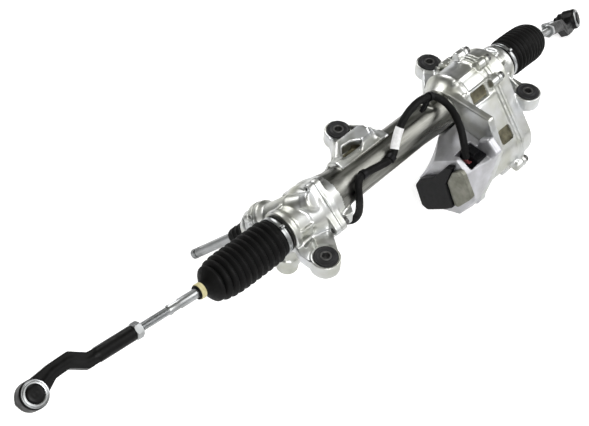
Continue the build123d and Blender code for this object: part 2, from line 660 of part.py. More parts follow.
with BuildPart() as rack_housing:
    revolve(lathe(rack_line, TUBE_OUTLINE), axis=about(rack_line))
    extrude(hull_of(across(JOINT_X), flange_discs), amount=JOINT_FLANGE)
    # bracket out to the rear left ear, curved on its left
    ear_x, ear_y = EARS[2]
    with BuildSketch(Plane.XY.offset(EAR_TOP)):
        with BuildLine():
            left_foot = (JOINT_X + JOINT_FLANGE, RACK_Y + 20)
            waist = (ear_x - 82, RACK_Y + 42)
            Line(left_foot, (ear_x + 22, RACK_Y + 18))
            Line((ear_x + 22, RACK_Y + 18), (ear_x + 21, ear_y - 8))
            Line((ear_x + 21, ear_y - 8), (ear_x - 20, ear_y + 8))
            ThreePointArc((ear_x - 20, ear_y + 8), (ear_x - 51, ear_y - 32), waist)
            Polyline(waist, (left_foot[0] + 24, RACK_Y + 41), (left_foot[0] + 12, RACK_Y + 34),
                     (left_foot[0], RACK_Y + 32), left_foot)
        make_face()
    extrude(amount=-BRACKET_THICK)
    extrude(ear_boss(EARS[2], EAR_HEIGHT), amount=-EAR_HEIGHT)
    # web under the tube's foot
    foot = JOINT_X + JOINT_FLANGE
    extrude(
        polygon(Plane.XY.offset(2), [
            (foot, 40), (foot + 9, 38), (foot + 11, 29), (foot + 24, 26), (foot + 38, 46),
            (foot + 42, 66), (foot, 66),
        ]),
        amount=-24,
    )
    # gear housing on round the motor's shaft, with the plate the motor bolts to
    plate_end = MOTOR_FACE_X + PLATE_THICK
    extrude(
        hull_of(across(plate_end), [(0, 0, TUBE_END_R + 8), (*MOTOR_AT, FLANGE_RS[1] - 8)]),
        amount=SPLIT_X - plate_end,
    )
    extrude(
        hull_of(across(plate_end + 6), [(0, 0, BARREL_R), (*MOTOR_AT, FLANGE_RS[1] - 5)]),
        amount=SPLIT_X - plate_end - 6,
    )
    extrude(polygon(across(MOTOR_FACE_X, 0), MOTOR_PLATE, 6.0), amount=PLATE_THICK)
    extrude(discs_at(across(MOTOR_FACE_X, 0), MOTOR_BOLTS, MOTOR_LUG_R), amount=PLATE_THICK)
    # bracket out to the rear right ear
    extrude(
        polygon(Plane.XY.offset(EAR_TOP - 2), [
            (122, 100), (122, 122), (145, 140), (172, 165), (214, 162), (SPLIT_X, 134),
            (SPLIT_X, 100),
        ]),
        amount=-BRACKET_THICK + 2,
    )
    extrude(ear_boss(EARS[3], EAR_HEIGHT), amount=-EAR_HEIGHT)
    # split flange and its bolt lugs
    extrude(
        hull_of(across(SPLIT_X), [(0, 0, FLANGE_RS[0]), (*MOTOR_AT, FLANGE_RS[1])]),
        amount=-FLANGE_THICK,
    )
    extrude(discs_at(across(SPLIT_X), COVER_BOLTS, COVER_LUG_R), amount=-18)
    # pockets: two in the left bracket, one on the tube, one on the barrel's near side
    for low, high in ((104, 123), (127, 141)):
        pocket = [
            (ear_x + 15, low), (ear_x + 15, high), (ear_x - 20 - (141 - high) * 0.8, high),
            (ear_x - 20 - (141 - low) * 0.8, low),
        ]
        extrude(polygon(Plane.XY.offset(EAR_TOP), pocket, 3.0), amount=-15, mode=Mode.SUBTRACT)
    with BuildSketch(Plane(origin=(70, RACK_Y + 8, TUBE_R - 5), z_dir=(0, 0.26, 1))):
        SlotOverall(62, 15)
    extrude(amount=20, mode=Mode.SUBTRACT)
    window = Plane(origin=(157, RACK_Y, 0), x_dir=(1, 0, 0), z_dir=(0, -0.82, 0.57))
    with BuildSketch(window.offset(BARREL_R - 5)):
        RectangleRounded(48, 36, 6)
    extrude(amount=20, mode=Mode.SUBTRACT)
    # bores along the rack and along the motor shaft
    revolve(
        lathe(rack_line, [
            (JOINT_X, 0), (JOINT_X, RACK_CLEAR_R), (JOINT_X + 20, RACK_CLEAR_R),
            (JOINT_X + 20, BORE_R), (NUT_X[0] - 6, BORE_R), (NUT_X[0] - 6, NUT_R + 4),
            (BEARING_X[0], NUT_R + 4), (BEARING_X[0], BEARING_R), (BEARING_X[1], BEARING_R),
            (BEARING_X[1], NUT_SPACE_R), (SPLIT_X, NUT_SPACE_R), (SPLIT_X, 0),
        ]),
        axis=about(rack_line),
        mode=Mode.SUBTRACT,
    )
    revolve(
        lathe(motor_line, [
            (MOTOR_FACE_X, 0), (MOTOR_FACE_X, SHAFT_R + 4), (MOTOR_BEARING_X[0], SHAFT_R + 4),
            (MOTOR_BEARING_X[0], MOTOR_BEARING_R), (MOTOR_BEARING_X[1] + 4, MOTOR_BEARING_R),
            (MOTOR_BEARING_X[1] + 4, MOTOR_SPACE_R), (SPLIT_X, MOTOR_SPACE_R), (SPLIT_X, 0),
        ]),
        axis=about(motor_line),
        mode=Mode.SUBTRACT,
    )
    extrude(discs_at(Plane.XY, EARS[2:], BUSH_R), amount=-60, mode=Mode.SUBTRACT)
    extrude(
        discs_at(across(JOINT_X), JOINT_LUGS, M8_R + BOLT_CLEAR),
        amount=JOINT_FLANGE,
        mode=Mode.SUBTRACT,
    )
    extrude(
        discs_at(across(SPLIT_X), COVER_BOLTS, M8_R + BOLT_CLEAR), amount=-16, mode=Mode.SUBTRACT
    )
    extrude(
        discs_at(across(MOTOR_FACE_X, 0), MOTOR_BOLTS, M6_R + BOLT_CLEAR),
        amount=PLATE_THICK,
        mode=Mode.SUBTRACT,
    )
keep(rack_housing, "rack_housing")

with BuildPart() as tube_bolts:
    add(cap_screws(across(JOINT_X + JOINT_FLANGE), JOINT_LUGS, M8_R, 2 * JOINT_FLANGE, head=6.5))
keep(tube_bolts, "tube_bolts")

# ---------------------------------------------------------------------------------------------
# End housing: belt cover, the +X neck for the boot and the front right ear
# ---------------------------------------------------------------------------------------------
COVER_WALL = 6.0
BELT_SPACE_X = COVER_X - COVER_WALL

with BuildPart() as end_housing:
    extrude(
        hull_of(across(SPLIT_X), [(0, 0, FLANGE_RS[0]), (*MOTOR_AT, FLANGE_RS[1])]),
        amount=FLANGE_THICK,
    )
    extrude(discs_at(across(SPLIT_X), COVER_BOLTS, COVER_LUG_R), amount=FLANGE_THICK)
    extrude(
        hull_of(across(SPLIT_X), [(0, 0, BARREL_R), (*MOTOR_AT, MOTOR_SPACE_R + 6)]),
        amount=COVER_X - SPLIT_X,
    )
    revolve(
        lathe(rack_line, [
            (COVER_X - 1, 0), (COVER_X - 1, END_NECK_R + 8), (COVER_X + 8, END_NECK_R),
            (COLLAR_X - 14, END_NECK_R), (COLLAR_X - 10, COLLAR_R), (COLLAR_X, COLLAR_R),
            (COLLAR_X, NECK_R), (HOUSING_END_X - neck_bevel, NECK_R),
            (HOUSING_END_X, NECK_R - neck_bevel), (HOUSING_END_X, 0),
        ]),
        axis=about(rack_line),
    )
    arm = [(FRONT_X, 0.0, 15.0), (FRONT_X - 8, 50.0, 9.0), (FRONT_X + 6, 50.0, 9.0)]
    extrude(hull_of(Plane.XY.offset(EAR_TOP - 3), arm), amount=-17)
    extrude(ear_boss(EARS[1], EAR_HEIGHT), amount=-EAR_HEIGHT)
    # inside: belt space, rack bore and socket counterbore
    extrude(
        hull_of(across(SPLIT_X), [(0, 0, NUT_SPACE_R), (*MOTOR_AT, MOTOR_SPACE_R)]),
        amount=BELT_SPACE_X - SPLIT_X,
        mode=Mode.SUBTRACT,
    )
    revolve(
        lathe(rack_line, [
            (SPLIT_X, 0), (SPLIT_X, BORE_R), (HOUSING_END_X, BORE_R), (HOUSING_END_X, 0),
        ]),
        axis=about(rack_line),
        mode=Mode.SUBTRACT,
    )
    extrude(discs_at(Plane.XY, [EARS[1]], BUSH_R), amount=-60, mode=Mode.SUBTRACT)
    extrude(
        discs_at(across(SPLIT_X), COVER_BOLTS, M8_R + BOLT_CLEAR),
        amount=FLANGE_THICK,
        mode=Mode.SUBTRACT,
    )
keep(end_housing, "end_housing")

with BuildPart() as cover_bolts:
    add(cap_screws(
        across(SPLIT_X + FLANGE_THICK), COVER_BOLTS, M8_R, FLANGE_THICK + 15, head=6.5
    ))
keep(cover_bolts, "cover_bolts")

# ---------------------------------------------------------------------------------------------
# Ball nut, its bearing, and the belt drive
# ---------------------------------------------------------------------------------------------

with BuildPart() as ball_nut:
    revolve(
        lathe(rack_line, [
            (NUT_X[0], NUT_BORE_R), (NUT_X[0], NUT_R - 1), (NUT_X[0] + 1, NUT_R),
            (NUT_X[1] - 1, NUT_R), (NUT_X[1], NUT_R - 1), (NUT_X[1], NUT_BORE_R),
        ]),
        axis=about(rack_line),
    )
keep(ball_nut, "ball_nut")

with BuildPart() as nut_bearing:
    race = (BEARING_R - NUT_R) / 3
    revolve(
        lathe(rack_line, [
            (BEARING_X[0], NUT_R + FIT), (BEARING_X[0], NUT_R + race),
            (BEARING_X[0] + 3, NUT_R + race), (BEARING_X[0] + 3, BEARING_R - race),
            (BEARING_X[0], BEARING_R - race), (BEARING_X[0], BEARING_R),
            (BEARING_X[1], BEARING_R), (BEARING_X[1], BEARING_R - race),
            (BEARING_X[1] - 3, BEARING_R - race), (BEARING_X[1] - 3, NUT_R + race),
            (BEARING_X[1], NUT_R + race), (BEARING_X[1], NUT_R + FIT),
        ]),
        axis=about(rack_line),
    )
keep(nut_bearing, "nut_bearing")


def pulley(line, radius, bore, start, end):
    """A flanged belt pulley; the belt runs between its two rims."""
    rim = 1.0
    return lathe(line, [
        (start, bore), (start, radius + rim), (start + rim, radius + rim), (start + rim, radius),
        (end - rim, radius), (end - rim, radius + rim), (end, radius + rim), (end, bore),
    ])


with BuildPart() as nut_pulley:
    revolve(pulley(rack_line, NUT_PULLEY_R, NUT_R, BELT_X[0] - 1.5, BELT_X[1] + 1.0),
            axis=about(rack_line))
keep(nut_pulley, "nut_pulley")

with BuildPart() as motor_pulley:
    revolve(pulley(motor_line, MOTOR_PULLEY_R, SHAFT_R, BELT_X[0] - 1.5, BELT_X[1] + 1.0),
            axis=about(motor_line))
keep(motor_pulley, "motor_pulley")

with BuildPart() as drive_belt:
    belt_from = BELT_X[0] + 0.5
    belt_wide = BELT_X[1] - BELT_X[0] - 2.0
    inner_discs = [(0, 0, NUT_PULLEY_R + GAP), (*MOTOR_AT, MOTOR_PULLEY_R + GAP)]
    outer_discs = [(u, v, radius + BELT_THICK) for u, v, radius in inner_discs]
    extrude(hull_of(across(belt_from), outer_discs), amount=belt_wide)
    extrude(hull_of(across(belt_from), inner_discs), amount=belt_wide, mode=Mode.SUBTRACT)
keep(drive_belt, "drive_belt")

# ---------------------------------------------------------------------------------------------
# Motor, with its control unit on the -X end
# ---------------------------------------------------------------------------------------------
MOTOR_BACK_X = 44.0
CORE_X = (75.0, 105.0)
REAR_BEARING_X = (64.0, 71.0)
REAR_PLATE_X = 71.0
CAP_X = 32.0
CAP_WALL = 3.0
COVER_FACE_X = 36.0
BOARD_STANDOFF = 6.0
BOARD_THICK = 1.6
PLUG_X = (72.0, 96.0)
PLUG_Y = (-36.0, 0.0)
PLUG_FLOOR = -40.0
HEADER_TOP = -12.0
POCKET_X = 56.0               # the plug's pocket is open above from here
HOUSING_BACK = [(30, -43), (-12, -9), (-36, -24), (-64, -66), (-40, -120), (20, -148), (52, -100)]
HOUSING_FRONT = [(70, -4), (0, -11), (-50, -17), (-45, -84), (-34, -150), (40, -150), (62, -110)]
CAP_OUTLINE = [(50, -108), (44, -88), (15, -61), (-8, -60), (-32, -101), (-17, -117), (17, -146),
               (30, -144)]
CAP_NOSE = [(16, -62), (-1, -26), (-14, -18), (-8, -60)]
ECU_OUTLINE = [(-8, -60), (-13, -32), (-28, -16), (-36, -21), (-60, -56), (-56, -66), (-38, -98),
               (-30, -98)]


def box(x_range, y_range, z_range):
    """A plain block between these limits."""
    spans = [low_high[1] - low_high[0] for low_high in (x_range, y_range, z_range)]
    middles = [sum(low_high) / 2 for low_high in (x_range, y_range, z_range)]
    with BuildPart(mode=Mode.PRIVATE) as block:
        with Locations(tuple(middles)):
            Box(*spans)
    return block.part


with BuildPart() as motor_housing:
    with BuildSketch(across(MOTOR_BACK_X, 0)):
        with BuildLine():
            Polyline(*HOUSING_BACK, close=True)
        make_face()
    with BuildSketch(across(MOTOR_FACE_X, 0)):
        with BuildLine():
            Polyline(*HOUSING_FRONT, close=True)
        make_face()
    loft(ruled=True)
    extrude(
        discs_at(across(MOTOR_FACE_X, 0), MOTOR_BOLTS, MOTOR_LUG_R), amount=-FLANGE_THICK
    )
    # hollowed to lie against the tube and the barrel
    revolve(
        lathe(rack_line, [
            (MOTOR_BACK_X, 0), (MOTOR_BACK_X, TUBE_END_R + 2), (MOTOR_FACE_X, TUBE_END_R + 2),
            (MOTOR_FACE_X, 0),
        ]),
        axis=about(rack_line),
        mode=Mode.SUBTRACT,
    )
    # header block behind the plug's pocket
    add(box((PLUG_X[1], MOTOR_FACE_X), (PLUG_Y[0] - 2, PLUG_Y[1] + 4), (-60, HEADER_TOP)))
    add(box((POCKET_X, PLUG_X[1]), PLUG_Y, (PLUG_FLOOR, 10)), mode=Mode.SUBTRACT)
    revolve(
        lathe(motor_line, [
            (REAR_BEARING_X[0], 0), (REAR_BEARING_X[0], MOTOR_BEARING_R),
            (REAR_PLATE_X, MOTOR_BEARING_R), (REAR_PLATE_X, STATOR_R), (MOTOR_FACE_X, STATOR_R),
            (MOTOR_FACE_X, 0),
        ]),
        axis=about(motor_line),
        mode=Mode.SUBTRACT,
    )
    extrude(
        discs_at(across(MOTOR_FACE_X, 0), MOTOR_BOLTS, M6_R + BOLT_CLEAR),
        amount=-30,
        mode=Mode.SUBTRACT,
    )
    extrude(
        discs_at(across(MOTOR_FACE_X - FLANGE_THICK, 0), MOTOR_BOLTS, MOTOR_LUG_R - 2),
        amount=-40,
        mode=Mode.SUBTRACT,
    )
keep(motor_housing, "motor_housing")

with BuildPart() as motor_rotor:
    revolve(
        lathe(motor_line, [
            (REAR_BEARING_X[0] + 0.5, 0), (REAR_BEARING_X[0] + 0.5, SHAFT_R), (CORE_X[0], SHAFT_R),
            (CORE_X[0], ROTOR_R), (CORE_X[1], ROTOR_R), (CORE_X[1], SHAFT_R),
            (BELT_X[1] + 2, SHAFT_R), (BELT_X[1] + 2, 0),
        ]),
        axis=about(motor_line),
    )
keep(motor_rotor, "motor_rotor")

with BuildPart() as motor_stator:
    revolve(
        ring(motor_line, CORE_X[0] - 2, CORE_X[1] + 2, STATOR_R, ROTOR_R + 2 * GAP),
        axis=about(motor_line),
    )
keep(motor_stator, "motor_stator")

with BuildPart() as motor_bearings:
    revolve(
        ring(motor_line, *REAR_BEARING_X, MOTOR_BEARING_R, SHAFT_R + FIT), axis=about(motor_line)
    )
    revolve(
        ring(motor_line, *MOTOR_BEARING_X, MOTOR_BEARING_R, SHAFT_R + FIT),
        axis=about(motor_line),
    )
keep(motor_bearings, "motor_bearings")

cap_face = across(CAP_X, 0)
cap_sketch = polygon(cap_face, CAP_OUTLINE, 6.0) + polygon(cap_face, CAP_NOSE, 2.0)

with BuildPart() as connector_cap:
    extrude(cap_sketch, amount=MOTOR_BACK_X - CAP_X)
    with BuildSketch(across(CAP_X + CAP_WALL, 0)):
        with BuildLine():
            Polyline(*CAP_OUTLINE, close=True)
        make_face()
        offset(amount=-CAP_WALL, kind=Kind.INTERSECTION)
    extrude(amount=MOTOR_BACK_X - CAP_X, mode=Mode.SUBTRACT)
keep(connector_cap, "connector_cap")

with BuildPart() as control_board:
    with BuildSketch(across(MOTOR_BACK_X - BOARD_STANDOFF, 0)):
        with BuildLine():
            Polyline(*CAP_OUTLINE, close=True)
        make_face()
        offset(amount=-2 * CAP_WALL, kind=Kind.INTERSECTION)
    extrude(amount=BOARD_THICK)
    # pillars that stand it off the motor housing
    for spot in ((32, -96), (14, -126), (-16, -98), (8, -76)):
        with BuildSketch(across(MOTOR_BACK_X - BOARD_STANDOFF + BOARD_THICK, *spot)):
            Circle(3)
        extrude(amount=BOARD_STANDOFF - BOARD_THICK)
keep(control_board, "control_board")

with BuildPart() as ecu_cover:
    extrude(polygon(across(COVER_FACE_X, 0), ECU_OUTLINE, 5.0), amount=MOTOR_BACK_X - COVER_FACE_X)
    for outline in (CAP_OUTLINE, CAP_NOSE):
        with BuildSketch(across(COVER_FACE_X, 0)):
            with BuildLine():
                Polyline(*outline, close=True)
            make_face()
            offset(amount=GAP, kind=Kind.INTERSECTION)
        extrude(amount=MOTOR_BACK_X - COVER_FACE_X, mode=Mode.SUBTRACT)
    with BuildSketch(across(COVER_FACE_X, -26, -24)):
        Circle(4)
    extrude(amount=-3)
keep(ecu_cover, "ecu_cover")

with BuildPart() as motor_bolts:
    bolt_face = Plane(origin=(MOTOR_FACE_X - FLANGE_THICK, 0, 0), x_dir=(0, -1, 0),
                      z_dir=(-1, 0, 0))
    mirrored = [(-u, v) for u, v in MOTOR_BOLTS]
    add(cap_screws(bolt_face, mirrored, M6_R, FLANGE_THICK + PLATE_THICK - 1, head=5.0))
keep(motor_bolts, "motor_bolts")

with BuildPart() as signal_plug:
    plug_play = 0.4
    add(box(
        (PLUG_X[0] + 0.5, PLUG_X[1]), (PLUG_Y[0] + plug_play, PLUG_Y[1] - plug_play),
        (PLUG_FLOOR, HEADER_TOP - 2),
    ))
    add(box(
        (PLUG_X[0] + 4, PLUG_X[1] - 5), (PLUG_Y[0] + 12, PLUG_Y[1] - 12),
        (HEADER_TOP - 2, HEADER_TOP + 2),
    ))
keep(signal_plug, "signal_plug")

# ---------------------------------------------------------------------------------------------
# Mounts: four rubber bushes, each with a steel sleeve
# ---------------------------------------------------------------------------------------------
SLEEVE_LENGTH = 32.0
LIP_TOP = -0.8

with BuildPart() as mount_bushes:
    extrude(discs_at(Plane.XY.offset(LIP_TOP), EARS, BUSH_R), amount=-SLEEVE_LENGTH + 2)
    extrude(discs_at(Plane.XY.offset(LIP_TOP), EARS, BUSH_LIP_R), amount=EAR_TOP - LIP_TOP)
    extrude(
        discs_at(Plane.XY, EARS, SLEEVE_R), amount=-SLEEVE_LENGTH, mode=Mode.SUBTRACT
    )
keep(mount_bushes, "mount_bushes")

with BuildPart() as mount_sleeves:
    extrude(discs_at(Plane.XY, EARS, SLEEVE_R), amount=-SLEEVE_LENGTH)
    extrude(
        discs_at(Plane.XY, EARS, SLEEVE_BORE_R), amount=-SLEEVE_LENGTH, mode=Mode.SUBTRACT
    )
keep(mount_sleeves, "mount_sleeves")

# ---------------------------------------------------------------------------------------------
# Tie rods: an inner ball joint, a rod, a jam nut and a forged end with its ball stud, each side
# ---------------------------------------------------------------------------------------------
SOCKET_MOUTH = 5.6            # along the rod from the ball centre, where the socket's lip is
SOCKET_FACE = 12.0
BALL_NECK_R = 5.8
SHANK_FROM = 27.0
THREAD_FROM = 128.0
FLATS = (104.0, 122.0)
FLATS_ACROSS = 13.0
ARM_FROM = NUT_AT + NUT_THICK
BARREL_END = ROD_LENGTH - 101.0
ARM_BARREL_R = 11.3
ARM_PATH = [
    (ROD_LENGTH - 105, 0), (ROD_LENGTH - 87, 0), (ROD_LENGTH - 67, -15), (ROD_LENGTH - 37, -13),
    (ROD_LENGTH - 11, -3),
]
ARM_BENDS = [16.0, 16.0, 20.0]
EYE_LOW = -14.0
EYE_HIGH = 13.0
EYE_MOUTH = -5.0              # where the ball's opening is narrowest
CAP_DOME = 7.0
CAP_R = 16.5
STUD_NECK_R = 5.5
STUD_SHOULDER = 21.0
STUD_BIG_R = 8.2
STUD_SMALL_R = 6.6
STUD_TAPER_END = 42.0
STUD_THREAD_R = 6.0


def rod_plane(side):
    """The tie rod's own plane: origin at the inner ball, X along the rod, Z along the eye."""
    droop, sweep, twist = LEFT_POSE if side < 0 else RIGHT_POSE
    reach = Vector(
        side * cos(radians(droop)) * cos(radians(sweep)),
        cos(radians(droop)) * sin(radians(sweep)),
        -sin(radians(droop)),
    )
    level = Vector(0, 0, 1).cross(reach).normalized()
    if level.Y > 0:
        level = -level
    upright = reach.cross(level).normalized()
    if upright.Z < 0:
        upright = -upright
    eye = upright * cos(radians(twist)) + level * sin(radians(twist))
    ball = Vector(SHIFT + side * RACK_END_X, RACK_Y, 0)
    return Plane(origin=ball, x_dir=reach, z_dir=eye)


def eye_line(plane):
    """Plane whose X axis is the ball stud's axis, from the outer ball down to its nut end."""
    return Plane(
        origin=plane.origin + plane.x_dir * ROD_LENGTH, x_dir=-plane.z_dir, z_dir=plane.x_dir
    )


def ball_points(radius, start, end, steps=10):
    """(x, r) points of a ball's outline between two places along its axis."""
    return [
        (start + (end - start) * step / steps,
         sqrt(max(radius**2 - (start + (end - start) * step / steps) ** 2, 0)))
        for step in range(steps + 1)
    ]


def inner_socket(plane, side):
    """Socket screwed to the rack's end; it holds the inner ball, with the lip rolled over it."""
    rack_end = Plane(origin=plane.origin, x_dir=(side, 0, 0), z_dir=(0, 0, 1))
    with BuildPart() as socket:
        revolve(
            lathe(rack_end, [
                (-SOCKET_BACK, 0), (-SOCKET_BACK, SOCKET_R - 1.5), (-SOCKET_BACK + 1.5, SOCKET_R),
                (SOCKET_FACE - 5, SOCKET_R), (SOCKET_FACE, SOCKET_R - 2.5), (SOCKET_FACE, 0),
            ]),
            axis=about(rack_end),
        )
        with BuildSketch(rack_end):
            with BuildLine():
                mouth_r = sqrt((INNER_BALL_R + FIT) ** 2 - SOCKET_MOUTH**2)
                ThreePointArc(
                    (-INNER_BALL_R - FIT, 0), (0, INNER_BALL_R + FIT), (SOCKET_MOUTH, mouth_r)
                )
                Line((SOCKET_MOUTH, mouth_r), (SOCKET_FACE + 0.1, mouth_r + 3.4))
                Line((SOCKET_FACE + 0.1, mouth_r + 3.4), (SOCKET_FACE + 0.1, 0))
                Line((SOCKET_FACE + 0.1, 0), (-INNER_BALL_R - FIT, 0))
            make_face()
        revolve(axis=about(rack_end), mode=Mode.SUBTRACT)
        with BuildSketch(Plane(origin=plane.origin - Vector(side * (SOCKET_BACK - 4), 0, 0),
                               x_dir=(0, 1, 0), z_dir=(side, 0, 0))):
            with Locations((0, SOCKET_R), (0, -SOCKET_R)):
                Rectangle(2 * SOCKET_R, 3)
        extrude(amount=8, mode=Mode.SUBTRACT)
    return socket


def tie_rod(plane):
    """Ball, neck, shank with wrench flats, and a threaded length that enters the rod end."""
    with BuildPart() as rod:
        neck_at = sqrt(INNER_BALL_R**2 - BALL_NECK_R**2)
        with BuildSketch(plane):
            with BuildLine():
                ThreePointArc((-INNER_BALL_R, 0), (0, INNER_BALL_R), (neck_at, BALL_NECK_R))
                Polyline(
                    (neck_at, BALL_NECK_R), (SHANK_FROM - 5, BALL_NECK_R), (SHANK_FROM, SHANK_R),
                    (THREAD_FROM - 2, SHANK_R), (THREAD_FROM, ROD_R), (BARREL_END - 13, ROD_R),
                    (BARREL_END - 12, ROD_R - 1), (BARREL_END - 12, 0), (-INNER_BALL_R, 0),
                )
            make_face()
        revolve(axis=about(plane))
        flat = along(plane, FLATS[0])
        with BuildSketch(flat):
            with Locations((0, FLATS_ACROSS / 2 + 3), (0, -FLATS_ACROSS / 2 - 3)):
                Rectangle(2 * SHANK_R, 6)
        extrude(amount=FLATS[1] - FLATS[0], mode=Mode.SUBTRACT)
    return rod


def jam_nut(plane):
    """Hexagon jam nut that locks the rod end."""
    face = along(plane, NUT_AT)
    with BuildPart() as nut:
        with BuildSketch(face):
            RegularPolygon(NUT_AF / 2, 6, major_radius=False)
        extrude(amount=NUT_THICK)
        with BuildSketch(face):
            Circle(ROD_R)
        extrude(amount=NUT_THICK, mode=Mode.SUBTRACT)
    return nut


def rod_end(plane):
    """Forged end: a bored barrel, a dog-leg arm and the eye that holds the outer ball."""
    centre = plane.origin + plane.x_dir * ROD_LENGTH
    pin = eye_line(plane)
    with BuildPart() as forging:
        revolve(
            lathe(plane, [
                (ARM_FROM, 0), (ARM_FROM, ARM_BARREL_R - 1), (ARM_FROM + 1, ARM_BARREL_R),
                (BARREL_END - 4, ARM_BARREL_R), (BARREL_END + 4, ARM_R), (BARREL_END + 4, 0),
            ]),
            axis=about(plane),
        )
        with BuildLine(plane) as bend:
            FilletPolyline(*ARM_PATH, radius=ARM_BENDS)
        with BuildSketch(along(plane, ARM_PATH[0][0])):
            Circle(ARM_R)
        sweep(path=bend.wires()[0])
        revolve(
            lathe(pin, [
                (-EYE_HIGH, 0), (-EYE_HIGH, EYE_R - 2), (-EYE_HIGH + 2, EYE_R),
                (-EYE_LOW - 3, EYE_R), (-EYE_LOW, EYE_R - 3), (-EYE_LOW, 0),
            ]),
            axis=about(pin),
        )
        revolve(
            lathe(plane, [(ARM_FROM, 0), (ARM_FROM, ROD_R), (BARREL_END - 8, ROD_R),
                          (BARREL_END - 8, 0)]),
            axis=about(plane),
            mode=Mode.SUBTRACT,
        )
        with BuildSketch(pin):
            with BuildLine():
                cavity_r = OUTER_BALL_R + FIT
                top_at = -sqrt(cavity_r**2 - (cavity_r - 0.6) ** 2)
                mouth_r = sqrt(cavity_r**2 - EYE_MOUTH**2)
                Polyline((-EYE_HIGH, 0), (-EYE_HIGH, cavity_r - 0.6), (top_at, cavity_r - 0.6))
                ThreePointArc((top_at, cavity_r - 0.6), (0, cavity_r), (-EYE_MOUTH, mouth_r))
                Polyline((-EYE_MOUTH, mouth_r), (-EYE_LOW, mouth_r + 5), (-EYE_LOW, 0),
                         (-EYE_HIGH, 0))
            make_face()
        revolve(axis=about(pin), mode=Mode.SUBTRACT)
    return forging


def end_cap(plane):
    """Domed cap pressed into the top of the eye."""
    pin = eye_line(plane)
    with BuildPart() as cap:
        with BuildSketch(pin):
            with BuildLine():
                plug_r = OUTER_BALL_R + FIT - 0.6
                plug_from = -OUTER_BALL_R - 0.5
                Polyline((plug_from, 0), (plug_from, plug_r), (-EYE_HIGH, plug_r),
                         (-EYE_HIGH, CAP_R), (-EYE_HIGH - 2, CAP_R))
                rise = CAP_DOME - 2
                dome_r = (CAP_R**2 + rise**2) / (2 * rise)
                half = asin(CAP_R / dome_r) / 2
                ThreePointArc(
                    (-EYE_HIGH - 2, CAP_R),
                    (-EYE_HIGH - CAP_DOME + dome_r * (1 - cos(half)), dome_r * sin(half)),
                    (-EYE_HIGH - CAP_DOME, 0),
                )
                Line((-EYE_HIGH - CAP_DOME, 0), (plug_from, 0))
            make_face()
        revolve(axis=about(pin))
    return cap


def ball_stud(plane):
    """Ball, neck, tapered seat and thread of the outer joint."""
    pin = eye_line(plane)
    with BuildPart() as stud:
        neck_at = sqrt(OUTER_BALL_R**2 - STUD_NECK_R**2)
        with BuildSketch(pin):
            with BuildLine():
                ThreePointArc((-OUTER_BALL_R, 0), (0, OUTER_BALL_R), (neck_at, STUD_NECK_R))
                Polyline(
                    (neck_at, STUD_NECK_R), (STUD_SHOULDER - 2, STUD_NECK_R),
                    (STUD_SHOULDER, STUD_BIG_R), (STUD_TAPER_END, STUD_SMALL_R),
                    (STUD_TAPER_END, STUD_THREAD_R), (STUD_LENGTH - 1, STUD_THREAD_R),
                    (STUD_LENGTH, STUD_THREAD_R - 1), (STUD_LENGTH, 0), (-OUTER_BALL_R, 0),
                )
            make_face()
        revolve(axis=about(pin))
    return stud


def stud_boot(plane):
    """Rubber cover between the eye's underside and the stud's shoulder."""
    pin = eye_line(plane)
    wall = 1.5
    low = -EYE_LOW + GAP
    outer = [(low, 17), (low + 3, 17), (low + 4, 16), (low + 6, 17), (low + 12, 12),
             (low + 14, 11), (low + 17, 11)]
    bore = STUD_BIG_R + FIT + 0.1
    inner = [(low + 17, bore), (low + 12.5, bore), (low + 11, 12 - wall), (low + 6, 17 - wall),
             (low, 17 - wall)]
    with BuildPart() as cover:
        revolve(lathe(pin, outer + inner), axis=about(pin))
    return cover


# ---------------------------------------------------------------------------------------------
# Boots: ribbed rubber from each housing neck to each rod, with their clamps
# ---------------------------------------------------------------------------------------------
CUFF_WALL = 3.0
CUFF_FROM = COLLAR_X + 2.0
CUFF_TO = CUFF_FROM + CUFF
SMALL_CUFF_R = SHANK_R + FIT + 2.5
CLAMP_WIDE = 7.0
CLAMP_THICK = 1.2


def boot_curve(plane, side):
    """A smooth line from the large cuff to the small one."""
    start = Vector(side * CUFF_TO, RACK_Y, 0)
    end = plane.origin + plane.x_dir * BOOT_GRIP
    reach = (end - start).length
    with BuildLine(mode=Mode.PRIVATE) as line:
        Bezier(
            start, start + Vector(side * reach * 0.4, 0, 0), end - plane.x_dir * (reach * 0.3), end
        )
    return line.edges()[0]


def fold_radii(inset):
    """(share of the length, radius) down the boot: crests and valleys, then the small end."""
    stations = [(0.0, NECK_R + CUFF_WALL), (0.03, BOOT_VALLEY_R + 1)]
    first, last = 0.05, 0.90
    for fold in range(FOLDS):
        pitch = (last - first) / FOLDS
        here = first + fold * pitch
        stations += [(here + pitch * 0.40, BOOT_R), (here + pitch * 0.60, BOOT_R),
                     (here + pitch, BOOT_VALLEY_R)]
    stations += [(0.95, 20.0), (1.0, SMALL_CUFF_R)]
    return [(share, radius - inset) for share, radius in stations]


def bellows(curve, inset):
    """The boot's folds as one solid of circles along the curve, this far inside its skin."""
    with BuildPart(mode=Mode.PRIVATE) as folds:
        for share, radius in fold_radii(inset):
            with BuildSketch(Plane(origin=curve @ share, z_dir=curve % share)):
                Circle(radius)
        loft(ruled=True)
    return folds.part


